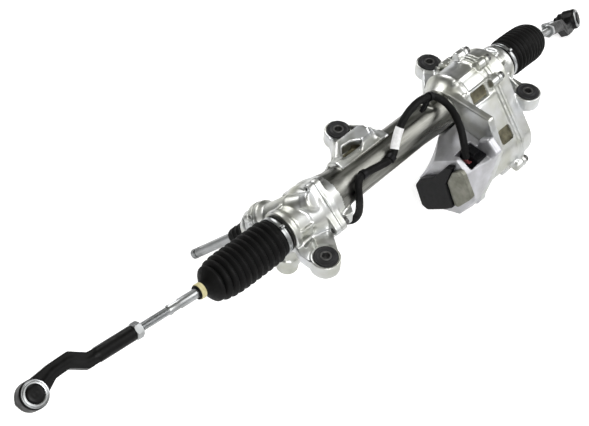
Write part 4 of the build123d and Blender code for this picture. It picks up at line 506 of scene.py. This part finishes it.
# %% Tie rod axes: droop, rearward sweep and twist of each side, in degrees
ROD_POSES = {"left": (-1, -8.3, 1.2, 33.0), "right": (1, 26.6, 11.9, 55.0)}
RACK_SHIFT = -14.0  # the rack stands this far off centre, in mm
BALL_REACH = 360  # from the rack's middle to each inner ball
ROD_LENGTH = 355  # from inner ball to outer ball
rods = {}
for hand, (side, droop, sweep, twist) in ROD_POSES.items():
    droop, sweep, twist = (radians(turn) for turn in (droop, sweep, twist))
    reach = Vector((side * cos(droop) * cos(sweep), cos(droop) * sin(sweep), -sin(droop)))
    flat_dir = Vector((0, 0, 1)).cross(reach).normalized()
    if flat_dir.y > 0:
        flat_dir = -flat_dir
    rise = reach.cross(flat_dir).normalized()
    if rise.z < 0:
        rise = -rise
    eye_dir = rise * cos(twist) + flat_dir * sin(twist)
    centre = Vector((RACK_SHIFT + side * BALL_REACH, RACK_Y, 0))
    rods[hand] = {
        "side": side, "ball": centre, "reach": reach,
        "spot": spot_at(centre, reach, eye_dir),
        "pin": spot_at(centre + reach * ROD_LENGTH, -eye_dir, reach),
    }
print("rod ends at", [[round(c) for c in rod["ball"] + rod["reach"] * ROD_LENGTH]
                      for rod in rods.values()])

# %% [markdown]
# ## Castings
# The three rack castings and the motor case are the bright bulk of the object. Each starts from
# its CAD solid, so bores, ears and flanges are where they belong, and gets the ribs and pads that
# a die casting has between them before it is fused.

# %% A casting's edges are shaded round up to this angle, in degrees
SOFT = 80


# %% Ribs round the rack: short webs that stand out of a round wall
def round_rib(name, x_from, x_to, angle, foot_r, top_r, top_r_end=None, thick=3.0):
    """A web along the rack at an angle from +Z towards -Y, from foot_r out to top_r."""
    turn = radians(angle)
    out = Vector((0, -sin(turn), cos(turn)))
    foot = Vector((0, RACK_Y, 0)) + out * foot_r
    far = None if top_r_end is None else top_r_end - foot_r
    return rib(name, foot + Vector((x_from, 0, 0)), foot + Vector((x_to, 0, 0)), out, thick,
               top_r - foot_r, far)


# %% Pinion housing: webs from the boot's collar to the flange, and round the tower
parts = [solid_copy("pinion_housing", "pinion_casting")]
for angle in (-40, 62):
    parts.append(round_rib("web", -268, -206, angle, 24, 36, 39, 5.0))
away = Matrix.Rotation(radians(110), 3, pinion_dir) @ pinion_side
parts.append(rib("tower_web", pinion_foot + pinion_dir * -2 + away * 20,
                 pinion_foot + pinion_dir * 52 + away * 20, away, 5, 6, 14))
parts.append(turned("foot_cone", [(-236, 24), (-236, 37), (-214, 44), (-206, 45), (-206, 24),
                                  (-236, 24)], rack_spot, 72))
casting = fuse(join(*parts), 1.3, 9)
dress(casting, cast, "housing", "cast_aluminium", "pinion_housing", angle=SOFT)

# %% Give some faces of a piece a second finish, chosen by where their middles are
def from_rack(y, z):
    """How far a point is from the rack's axis, in mm."""
    return sqrt((y - RACK_Y) ** 2 + z ** 2)


def second_finish(piece, material, test):
    """Puts material on each face whose middle, in mm, passes the test."""
    piece.data.materials.append(material)
    count = 0
    for face in piece.data.polygons:
        middle = face.center / MM
        if test(middle.x, middle.y, middle.z):
            face.material_index = len(piece.data.materials) - 1
            count += 1
    print(piece.name, count, "of", len(piece.data.polygons), "faces are", material.name)
    return piece


# %% [markdown]
# The rack housing is one casting: the tube, the rear bracket and the barrel round the ball nut. A
# saddle with an open pocket joins the bracket to the tube. The barrel has ribs and two hoops, and
# its flank towards the motor has a sunk window. The saddle's pocket is cut before the blocks are
# fused, so its edges come out round. The window is cut afterwards, and its edges stay sharp.

# %% Rack housing: saddle, shoulder, pocket, fins, parting lines, tube's foot, barrel and window
parts = [solid_copy("rack_housing", "rack_casting")]
saddle = pushed("saddle", [(-136, 82), (-130, 104), (-106, 122), (-90, 136), (-34, 136),
                           (-22, 112), (-20, 92), (-52, 80)],
                spot_at((0, 0, -16), (1, 0, 0), (0, 0, 1)), 40)
shoulder = pushed("shoulder", [(80, 24), (116, -20), (121, -6), (114, 20), (98, 33), (82, 34)],
                  spot_at((-132, 0, 0), (0, 1, 0), (1, 0, 0)), 108)
for block in (saddle, shoulder):
    pocket = pushed("pocket", [(-116, 94), (-108, 103), (-90, 121), (-68, 119), (-55, 109),
                               (-82, 88)], spot_at((0, 0, 2), (1, 0, 0), (0, 0, 1)), 40)
    parts.append(cut(block, pocket))
parts.append(rib("left_fin", (-68, 158, -12), (-100, 124, -12), UP, 5.5, 12, 34))
parts.append(rib("right_fin", (-26, 160, -12), (-30, 128, -12), UP, 5.0, 12, 36))
parts.append(rib("ledge", (-44, 84, 22), (-28, 116, 14), UP, 4.0, 14))
parts.append(rib("foot_fin", (-176, 104, -12), (-128, 104, -12), UP, 12, 28))
for angle in (98, -92):
    parts.append(round_rib("parting_line", -178, 108, angle, 28, 32.6, thick=2.5))
parts.append(turned("foot_cone", [(-200, 24), (-200, 45), (-191, 44.5), (-172, 39), (-150, 34),
                                  (-140, 32.5), (-140, 24), (-200, 24)], rack_spot, 72))
for x in (136, 188):
    parts.append(turned("hoop", [(x, 46), (x, 52.5), (x + 4, 52.5), (x + 4, 46), (x, 46)],
                        rack_spot, 72))
for angle in (8, 40, 70, 104):
    parts.append(round_rib("barrel_rib", 128, 196, angle, 44, 52.5, 54.5, 3.5))
parts.append(rib("ear_fin", (190, 150, -8), (165, 122, -8), UP, 4.0, 10, 26))
parts.append(rib("ear_fin", (196, 146, -8), (196, 116, -8), UP, 4.0, 10, 30))
casting = fuse(join(*parts), 1.85, 6)
flank = Vector((0, -0.76, 0.651))
window = Vector((178, -19, -38))
cut(casting, pushed("cover_window", [(-16, -11), (-12, -14), (12, -14), (16, -10), (16, 10),
                                     (12, 13), (-12, 13), (-16, 10)],
                    spot_at(window - flank * 4, (1, 0, 0), flank), 16))
dress(casting, cast, "housing", "cast_aluminium", "rack_housing", angle=SOFT)


# %% The tube's painted dark reflection; painted shade on the barrel's pocket, bracket's and window floors
def on_tube(x, y, z):
    """On the tube's wall, and not on the saddle that covers part of it."""
    on_saddle = -133 < x < -23 and y > 81 and z > -20
    return -172 < x < 111.5 and from_rack(y, z) < 39.5 and not on_saddle


def in_barrel_pocket(x, y, z):
    """On the floor of the pocket on the barrel's near side."""
    deep = (y - RACK_Y) * -0.82 + z * 0.57
    across = (y - RACK_Y) * 0.57 + z * 0.82
    return 134 < x < 182 and 43 < deep < 46.6 and abs(across) < 18


def in_bracket_or_window(x, y, z):
    """On the bracket's pocket floor, or on the sunk window's."""
    y_off, z_off = y + 19, z + 38
    deep = y_off * -0.76 + z_off * 0.651
    across = y_off * 0.651 + z_off * 0.76
    return (-112 < x < -55 and 90 < y < 119 and -8 < z < 12
            or 163 < x < 193 and -6 < deep < -3 and abs(across) < 13)


# The tube's wall takes the darker metal of painted dark reflection. The pocket and window floors
# take painted shade.
second_finish(casting, dark_reflection_metal, on_tube)
second_finish(casting, pocket_shade_metal, in_barrel_pocket)
second_finish(casting, pocket_shade_metal, in_bracket_or_window)

# %% End housing: webs from its neck to the belt cover, ribs and a ring on the cover's face
parts = [solid_copy("end_housing", "end_casting")]
for angle in range(-160, 200, 40):
    parts.append(round_rib("neck_rib", 236, 262, angle, 28, 50, 34, 3.5))
for turn in range(5):
    tilt = radians(200 + 35 * turn)
    foot = Vector((237, MOTOR_Y + 12 * cos(tilt), MOTOR_Z + 12 * sin(tilt)))
    parts.append(rib("cover_rib", foot, foot + Vector((0, 32 * cos(tilt), 32 * sin(tilt))),
                     (1, 0, 0), 3.5, 4, 2.5))
parts.append(turned("cover_ring", [(236, 9), (240.5, 9), (240.5, 15), (236, 15), (236, 9)],
                    motor_spot, 40))
parts.append(rib("ear_web", (256, 18, -10), (254, 50, -10), UP, 4, 8, 22))
casting = fuse(join(*parts), 1.5, 7)
dress(casting, cast, "housing", "cast_aluminium", "end_housing", angle=SOFT)
# The neck past its ribs takes the tube's darker metal too, as painted dark reflection.
second_finish(casting, dark_reflection_metal, lambda x, y, z: x > 262 and from_rack(y, z) < 34)

# %% Motor case, with the rounded header block behind its plug
parts = [solid_copy("motor_housing", "motor_case")]
header = pushed("header", [(-56, -2), (-44, -30), (-26, -36), (-14, -16), (-14, 2), (-32, 16)],
                spot_at((96, 0, 0), (0, 1, 0), (1, 0, 0)), 16)
parts.append(soften(header, 4, 3))
casting = fuse(join(*parts), 1.1, 6)
dress(casting, grey_cast, "housing", "grey_casting", "motor_housing", angle=SOFT)

# %% Torque sensor housing: a stack of turned steps with grooves, over its CAD solid
outline = [(58, 21), (58, 34), (64, 34), (64.6, 33.2), (66.4, 33.2), (67, 34), (68.5, 33), (69, 31),
           (72, 28.6), (78, 28.2), (78.6, 27.4), (80.4, 27.4), (81, 28.2), (86, 28.2), (89, 24.5),
           (96, 22), (97, 21), (97, 14.5), (89, 14.5), (87, 21), (58, 21)]
steps = turned("sensor_casting", outline, pinion_spot, 80)
casting = join(solid_copy("sensor_housing", "sensor_casting_body"), steps)
casting.name = "sensor_casting"
fuse(casting, 0.9, 4)
dress(casting, cast, "housing", "cast_aluminium", "sensor_housing", angle=60)

# %% [markdown]
# ## Bolts
# Every bolt is a cap screw with a turned head, a rounded rim and a hexagon socket. One is made at
# size, and a copy goes to each bolt hole, turned a little so that no two sockets line up.

# %% One cap screw: head, socket and shank, with its head on the frame's +Z side
def cap_screw(name, shank, head, length):
    """A cap screw in mm, along +Z, whose head stands on z = 0."""
    tall = 2 * shank
    outline = [(-length, 0), (-length, shank - 0.6), (-length + 0.6, shank), (0, shank),
               (0, head), (tall - 0.8, head), (tall - 0.2, head - 0.5), (tall, head - 1.1),
               (tall, 0)]
    screw = turned(name, outline, spot_at((0, 0, 0), (0, 0, 1), (1, 0, 0)), 32)
    bpy.ops.object.select_all(action="DESELECT")
    bpy.ops.mesh.primitive_cylinder_add(vertices=6, radius=shank * 0.85 * MM, depth=2 * shank * MM,
                                        location=(0, 0, 2 * shank * MM))
    return cut(screw, bpy.context.object)


def bolt_set(name, face, spots, shank, head, length, *stands_for):
    """Copies of one cap screw at (x, y) spots in mm on a face frame, joined as one piece."""
    first = cap_screw(name, shank, head, length)
    copies = []
    for count, (x, y) in enumerate(spots):
        copy = first if count == len(spots) - 1 else first.copy()
        if copy is not first:
            copy.data = first.data.copy()
            bpy.context.scene.collection.objects.link(copy)
        turn = Matrix.Rotation(radians(17 * count), 4, "Z")
        copies.append(settle(copy, face @ Matrix.Translation((x * MM, y * MM, 0)) @ turn))
    whole = join(*copies[::-1])
    whole.name = name
    return dress(whole, dark_steel, "housing", "steel", *stands_for)


# %% Bolts of the tube flange, the belt cover, the motor and the sensor
def cross_face(x, flip=1):
    """A face across the rack at x, looking along +X, or along -X when flipped."""
    return spot_at((x, RACK_Y if flip > 0 else 0, 0), (0, flip, 0), (flip, 0, 0))


JOINT_LUGS = [(4, 45), (-52, -2), (12, -44), (46, -8)]
COVER_RING = 57  # the cover's bolts stand this far from the rack's and the motor's axis
COVER_BOLTS = [(COVER_RING * cos(radians(a)), COVER_RING * sin(radians(a)))
               for a in (10, 55, 100, 138)]
COVER_BOLTS += [(MOTOR_Y - RACK_Y + COVER_RING * cos(radians(a)),
                 MOTOR_Z + COVER_RING * sin(radians(a))) for a in (200, 240, 290, 330)]
SCREW_SPOTS = [(36 * cos(radians(40 + 120 * turn)), 36 * sin(radians(40 + 120 * turn)))
               for turn in range(3)]
MOTOR_BOLTS = [(25, -5), (29, -141), (-52, -138), (-58, -62)]
bolt_set("tube_screws", cross_face(-190), JOINT_LUGS, 4, 6.5, 24, "tube_bolts")
bolt_set("cover_screws", cross_face(210), COVER_BOLTS, 4, 6.5, 22, "cover_bolts")
bolt_set("motor_screws", cross_face(105, -1), MOTOR_BOLTS, 3, 5, 20, "motor_bolts")
bolt_set("sensor_cap_screws",
         spot_at(pinion_foot + pinion_dir * 67, pinion_dir.cross(pinion_side) * -1, pinion_dir),
         SCREW_SPOTS, 2.5, 4, 9, "sensor_screws")

# %% [markdown]
# ## Mounts
# Each ear holds a rubber bush with a moulded lip, and a dark steel sleeve through its middle. The
# lip has a raised bead at its rim and a sunk ring inside it.

# %% Bushes and their sleeves
bushes, sleeves = [], []
for x, y in EARS:
    upright_spot = spot_at((x, y, 0), (0, 0, 1), (1, 0, 0))
    bushes.append(turned("mount_rubber", [
        (-30.8, 9), (-30.8, 16.5), (-29.5, 18), (-3.6, 18), (-3.6, 18.9), (-3.0, 19.4),
        (-1.9, 19.4), (-1.1, 18.8), (-0.8, 17.8), (-0.9, 16.6), (-1.5, 15.8), (-2.0, 14.8),
        (-1.9, 13.4), (-1.2, 12.2), (-0.8, 11.0), (-0.8, 9), (-30.8, 9)], upright_spot, 64))
    sleeves.append(turned("mount_tube", [
        (-32, 6.6), (-31.6, 6.2), (-0.4, 6.2), (0, 6.6), (0, 8.6), (-0.4, 9), (-31.6, 9),
        (-32, 8.6), (-32, 6.6)], upright_spot, 48))
dress(join(*bushes), bush_rubber, "housing", "boot_rubber", "mount_bushes")
dress(join(*sleeves), dark_steel, "housing", "steel", "mount_sleeves")

# %% [markdown]
# ## Boots
# A boot is one rubber bellows: a straight cuff on the housing's neck, eleven folds, and a small
# cuff on the rod. Its half outline is spun round a straight axis first, and a curve modifier then
# bends it from the housing's line into the rod's. It rides on the housing and keeps its length.

# %% The boot's line, as a curve, and its outline
GRIP = 60.0
CUFF_FROM, CUFF_TO = 276.0, 292.0


def boot_line(rod, side):
    """A Bezier curve from the large cuff's edge to the end of the small cuff."""
    grip = rod["ball"] + rod["reach"] * GRIP
    start = Vector((side * CUFF_TO, RACK_Y, 0))
    reach = (grip - start).length
    along = Vector((side, 0, 0))
    knots = [
        (start - along * (CUFF_TO - CUFF_FROM), along * 4, along * 4),
        (start, along * 4, along * reach * 0.4),
        (grip, rod["reach"] * reach * 0.3, rod["reach"] * 3),
        (grip + rod["reach"] * 13, rod["reach"] * 3, rod["reach"] * 3),
    ]
    data = bpy.data.curves.new("boot_line", "CURVE")
    data.dimensions = "3D"
    data.resolution_u = 64
    data.twist_mode = "MINIMUM"
    spline = data.splines.new("BEZIER")
    spline.bezier_points.add(len(knots) - 1)
    for point, (place, back, on) in zip(spline.bezier_points, knots):
        point.co = place * MM
        point.handle_left, point.handle_right = (place - back) * MM, (place + on) * MM
    line = bpy.data.objects.new("boot_line", data)
    bpy.context.scene.collection.objects.link(line)
    return line, spline.calc_length() / MM


def boot_outline(total):
    """Half outline of a boot along a straight axis: folds outside, plain wall inside."""
    cuff, small = CUFF_TO - CUFF_FROM, 13.0
    run = total - cuff - small
    outside = [(0, 28.5), (0, 31.2), (0.6, 31.9), (3.2, 31.9), (4, 31.5), (12, 31.5), (13, 32.2),
               (cuff, 32.6)]
    first, last, folds = 0.02, 0.93, 11
    pitch = (last - first) / folds
    for fold in range(folds):
        drop = (0, 0, 0, 0, 0, 0, 0, 0, 0.5, 2.0, 5.5)[fold]
        fall = (0, 0, 0, 0, 0, 0, 0, 0.3, 1.2, 3.5, 8.0)[fold]
        for share, radius in ((0.0, 31.0), (0.10, 31.4), (0.26, 34.2), (0.42, 35.5), (0.60, 35.5),
                              (0.78, 34.0), (0.92, 31.6)):
            less = drop + (fall - drop) * share
            outside.append((cuff + run * (first + (fold + share) * pitch), radius - less))
    outside += [(cuff + run * 0.935, 22.0), (cuff + run * 0.955, 18.0), (cuff + run * 0.975, 13.6),
                (cuff + run, 11.0), (cuff + run + 2, 10.25), (total - 2.5, 10.25),
                (total - 2.2, 10.9), (total - 0.6, 10.9), (total, 10.4)]
    inside = [(total, 7.75), (cuff + run, 7.75), (cuff + run * 0.97, 10.5), (cuff + run * 0.92, 19),
              (cuff + run * 0.8, 27), (cuff + 2, 29.2), (cuff - 2, 28.5), (0, 28.5)]
    return outside + inside


# %% Bend both boots and dress them
for hand, rod in rods.items():
    line, total = boot_line(rod, rod["side"])
    boot = turned(f"rubber_boot_{hand}", boot_outline(total), lathe_spot, 72)
    modify(boot, "CURVE", object=line, deform_axis="POS_X")
    bpy.data.objects.remove(line)
    dress(boot, rubber, "housing", "boot_rubber", f"boot_{hand}")
    print(boot.name, round(total), "mm long,", len(boot.data.polygons), "faces")

# %% [markdown]
# ## Clamps
# A boot's large clamp is a thin steel strap with a rolled edge, pinched by one ear. The small
# clamp is a cream ring on the rod.

# %% Large clamps, and the cream rings of the small ends
EAR_FROM = {"left": -287.2, "right": 280.8}  # where each strap's ear begins along X, in mm
for hand, rod in rods.items():
    outward = spot_at((0, RACK_Y, 0), (rod["side"], 0, 0), (0, 0, 1))
    strap = turned(f"strap_{hand}", [
        (280.5, 31.6), (280.5, 32.5), (281.1, 32.8), (281.8, 32.45), (286.2, 32.45),
        (286.9, 32.8), (287.5, 32.5), (287.5, 31.6), (280.5, 31.6)], outward, 96)
    ear = pushed("ear", [(-3.4, 31.7), (3.4, 31.7), (2.6, 35.0), (3.0, 37.0), (1.6, 37.8),
                         (-1.6, 37.8), (-3.0, 37.0), (-2.6, 35.0)],
                 spot_at((EAR_FROM[hand], RACK_Y, 0), (0, 0.94, 0.34), (1, 0, 0)), 6.4)
    soften(ear, 0.5)
    dress(join(strap, ear), steel, "housing", "steel", f"large_clamp_{hand}")
    ring = turned(f"cream_ring_{hand}", [
        (62.0, 10.32), (62.0, 11.6), (62.6, 12.2), (66.0, 12.2), (66.4, 11.8), (67.0, 11.8),
        (67.4, 12.2), (69.8, 12.2), (70.4, 11.6), (70.4, 10.32), (62.0, 10.32)], rod["spot"], 64)
    dress(ring, cream, f"{hand}_rod", "black_plastic", f"small_clamp_{hand}")

# %% [markdown]
# ## Tie rods
# Each rod is turned bar with a rolled thread that screws into a forged end. The thread is drawn
# as close rings, which look the same as a helix at this pitch.

# %% Rod, with its flats and its thread
def thread(start, end, radius, pitch=1.5, deep=0.8):
    """Points of a threaded length, as close ridges."""
    points, here = [], start
    while here + pitch <= end:
        points += [(here, radius - deep), (here + pitch * 0.45, radius),
                   (here + pitch * 0.6, radius)]
        here += pitch
    return points + [(end, radius - deep)]


def ball(radius, start, end, steps=12):
    """Points of a ball's outline from start to end along its axis."""
    return [(start + (end - start) * step / steps,
             sqrt(max(radius ** 2 - (start + (end - start) * step / steps) ** 2, 0)))
            for step in range(steps + 1)]


for hand, rod in rods.items():
    outline = ball(12, -12, 10.5) + [(22, 5.8), (27, 7.7), (100, 7.7), (103, 7.7), (125, 7.7),
                                     (127, 6.4)]
    outline += thread(128, 192, 6.2) + [(240, 6.0), (242, 5.2), (242, 0)]
    bar = turned(f"track_rod_{hand}", outline, lathe_spot, 48)
    for way in (1, -1):
        bpy.ops.object.select_all(action="DESELECT")
        bpy.ops.mesh.primitive_cube_add(size=1, location=(0.113, way * 9.5 * MM, 0),
                                        scale=(0.018, 0.006, 0.03))
        cut(bar, bpy.context.object)
    settle(bar, rod["spot"])
    dress(bar, steel, f"{hand}_rod", "steel", f"tie_rod_{hand}")

# %% Jam nuts: a hexagon whose corners are turned off on both faces
NUT_FLATS = 22  # across flats, in mm
for hand, rod in rods.items():
    bpy.ops.object.select_all(action="DESELECT")
    bpy.ops.mesh.primitive_cylinder_add(vertices=6, radius=NUT_FLATS / sqrt(3) * MM,
                                        depth=12 * MM)
    nut = bpy.context.object
    nut.name = f"lock_nut_{hand}"
    settle(nut, spot_at((183, 0, 0), UP, (1, 0, 0)))
    barrel = turned("barrel", [(177, 6.25), (177, 11), (178, 12.2), (180, 13.2), (186, 13.2),
                               (188, 12.2), (189, 11), (189, 6.25), (177, 6.25)],
                    lathe_spot, 48)
    modify(nut, "BOOLEAN", object=barrel, operation="INTERSECT")
    bpy.data.objects.remove(barrel)
    settle(nut, rod["spot"])
    dress(nut, steel, f"{hand}_rod", "steel", f"jam_nut_{hand}")

# %% Forged ends: the CAD solid with the arm flared into the eye, fused and smoothed
for hand, rod in rods.items():
    flare = pushed("flare", [(236, -9.5), (264, -11), (286, -25.5), (318, -24), (334, -21.5),
                             (352, -19.5), (362, -12), (362, 12), (352, 19.5), (336, 8),
                             (318, -2.5), (294, -4), (271, 10.5), (236, 9.5)],
                   rod["spot"] @ Matrix.Translation((0, 0, -7.5 * MM)), 15)
    hollow = turned("hollow", [(-18, 0), (-18, 11.3), (14.1, 11.3), (14.1, 0)], rod["pin"], 40)
    cut(flare, hollow)
    forged = join(solid_copy(f"rod_end_{hand}", f"forged_end_{hand}"), flare)
    fuse(forged, 0.9, 9)
    dress(forged, forging, f"{hand}_rod", "black_forging", f"rod_end_{hand}")

# %% Eye caps: a bright rolled ring round a black domed cover
for hand, rod in rods.items():
    rim = turned(f"eye_ring_{hand}", [
        (-12.5, 12.5), (-12.5, 18.4), (-13.2, 18.8), (-14.4, 18.8), (-15.1, 18.3), (-14.7, 17.2),
        (-15.6, 16.2), (-15.8, 14.8), (-15.2, 13.4), (-14.0, 12.7), (-12.5, 12.5)],
                  rod["pin"], 80)
    dress(rim, steel, f"{hand}_rod", "steel")
    dome = turned(f"eye_cover_{hand}", [
        (-11.4, 0), (-11.4, 10.3), (-13.2, 10.3), (-13.2, 12.6), (-15.6, 12.6), (-16.4, 12.0),
        (-17.2, 10.2), (-17.6, 7.6), (-17.7, 4.4), (-17.3, 2.4), (-17.2, 0)], rod["pin"], 64)
    dress(dome, forging, f"{hand}_rod", "black_forging", f"end_cap_{hand}")

# %% Ball studs and their rubber covers
for hand, rod in rods.items():
    outline = ball(11, -11, 9.5) + [(19, 5.5), (21, 8.2), (42, 6.6), (42.2, 5.4)]
    outline += thread(43, 58.6, 6.0) + [(60, 5.0), (60, 0)]
    stud = turned(f"tapered_stud_{hand}", outline, rod["pin"], 40)
    dress(stud, steel, f"{hand}_stud", "steel", f"ball_stud_{hand}")
    cover = turned(f"stud_cover_{hand}", [
        (14.3, 15.6), (14.3, 17.0), (16.0, 17.4), (17.4, 16.9), (18.2, 16.2), (19.4, 17.2),
        (21.0, 17.2), (23.4, 15.2), (26.0, 12.4), (27.4, 11.2), (28.6, 11.6), (30.6, 11.6),
        (31.3, 11.0), (31.3, 8.4), (26.8, 8.5), (25.0, 10.6), (20.4, 15.4), (14.3, 15.6)],
        rod["pin"], 56)
    dress(cover, rubber, f"{hand}_boot", "boot_rubber", f"stud_boot_{hand}")

# %% [markdown]
# ## Input shaft's seal
# A rubber cup closes the sensor housing round the shaft, and stretches with two soft steps.

# %% Dust seal
seal = turned("shaft_seal", [
    (91, 14.45), (96.9, 14.45), (97.05, 18.2), (98.0, 19.0), (101.5, 19.0), (103.5, 18.2),
    (105.5, 15.6), (107.5, 15.0), (112, 14.6), (114, 15.2), (116, 14.4), (122, 14.0), (124, 14.6),
    (126, 13.8), (131, 13.4), (134.5, 12.6), (137.2, 11.6), (138, 10.6), (138, 9.1), (134, 9.1),
    (132, 11.3), (91, 11.3), (91, 14.45)], pinion_spot, 64)
dress(seal, rubber, "housing", "boot_rubber", "input_dust_seal")

# %% [markdown]
# ## Motor end
# The control unit closes the motor's back with a black moulded cap, beside a plain cast cover.
# Both are their CAD solids, fused and smoothed round. The plug, a square housing with a latch, is
# its CAD solid with its edges bevelled.

# %% Cap, cover and plug
cap = solid_copy("connector_cap", "moulded_cap")
fuse(cap, 0.8, 14)
dress(cap, plastic, "housing", "black_plastic", "connector_cap", angle=60)
cover = solid_copy("ecu_cover", "cast_cover")
fuse(cover, 0.8, 5)
dress(cover, cover_cast, "housing", "grey_casting", "ecu_cover", angle=60)
plug = soften(solid_copy("signal_plug", "wire_plug"), 1.2, 3)
dress(plug, plastic, "housing", "black_plastic", "signal_plug")

# %% [markdown]
# ## Harness
# The lead from the torque sensor is a round loom in a black sheath. It is one smooth NURBS line
# through the same points as the CAD tube, in metres, and is held by clips and by both ends.

# %% The route, in millimetres
port_dir = (Vector((1, 0, 0)) - pinion_dir * pinion_dir.x).normalized()
port_foot = pinion_foot + pinion_dir * 80
ROUTE = [port_foot + port_dir * 46, port_foot + port_dir * 64] + [Vector(p) for p in (
    (-182, 143, -67), (-168, 120, -70), (-157, 95, -70), (-147, 71, -69), (-137, 50, -64),
    (-132, 41, -44), (-135, 39, -16), (-139, 38.5, 6), (-138, 44, 25), (-127, 52, 33),
    (-108, 52, 30), (-84, 49.5, 26), (-62, 47, 23), (-47, 49, 27), (-37, 56, 38), (-28, 60, 55),
    (-17, 63, 68), (2, 67, 75), (30, 72, 74), (58, 76, 63), (80, 74, 54), (91, 56, 44),
    (84, 30, 39), (72, 6, 28), (64, -9, 11), (63, -18, -12))]


def loom(name, points, radius, material, slot, *stands_for):
    """A round cord along a smooth line whose control points are given in mm."""
    data = bpy.data.curves.new(name, "CURVE")
    data.dimensions = "3D"
    spline = data.splines.new("NURBS")
    spline.points.add(len(points) - 1)
    for point, place in zip(spline.points, points):
        point.co = (*(place * MM), 1)
    spline.order_u = 3
    spline.use_endpoint_u = True
    spline.resolution_u = 10
    data.bevel_depth = radius * MM
    data.bevel_resolution = 6
    data.use_fill_caps = True
    piece = bpy.data.objects.new(name, data)
    bpy.context.scene.collection.objects.link(piece)
    data.materials.append(material)
    return dress(piece, material, "housing", slot, *stands_for)


def half_way(first):
    """The point midway along one run of the route, where the line touches it."""
    return (ROUTE[first] + ROUTE[first + 1]) / 2


LOOM_R, SLEEVE_R = 6.2, 7.3
loom("sensor_loom", ROUTE, LOOM_R, rubber, "boot_rubber", "harness_cable")
loom("blank_sleeve", [half_way(15), *ROUTE[16:18], half_way(17)], SLEEVE_R, sleeve_white,
     "white_sleeve", "harness_sleeve")

# %% Hand the CAD nodes that stay their finishes
KEPT = {
    "ball_nut": steel, "nut_pulley": dark_steel, "motor_rotor": steel, "motor_pulley": dark_steel,
    "motor_stator": copper, "motor_bearings": steel, "pinion_bearings": steel,
    "nut_bearing": steel, "drive_belt": belt_rubber, "rack_bar": steel, "pinion_shaft": steel,
    "torsion_bar": steel, "input_shaft": steel, "rack_yoke": steel, "yoke_spring": dark_steel,
    "yoke_plug": steel, "sensor_coil": copper, "sensor_connector": plastic,
    "control_board": board_green, "plug_wires": wire_red, "harness_clips": plastic,
    "inner_socket_left": steel, "inner_socket_right": steel,
}
for name, material in KEPT.items():
    nodes[name].data.materials.clear()
    nodes[name].data.materials.append(material)
print("left as CAD nodes:", [name for name in nodes if not nodes[name].hide_render])
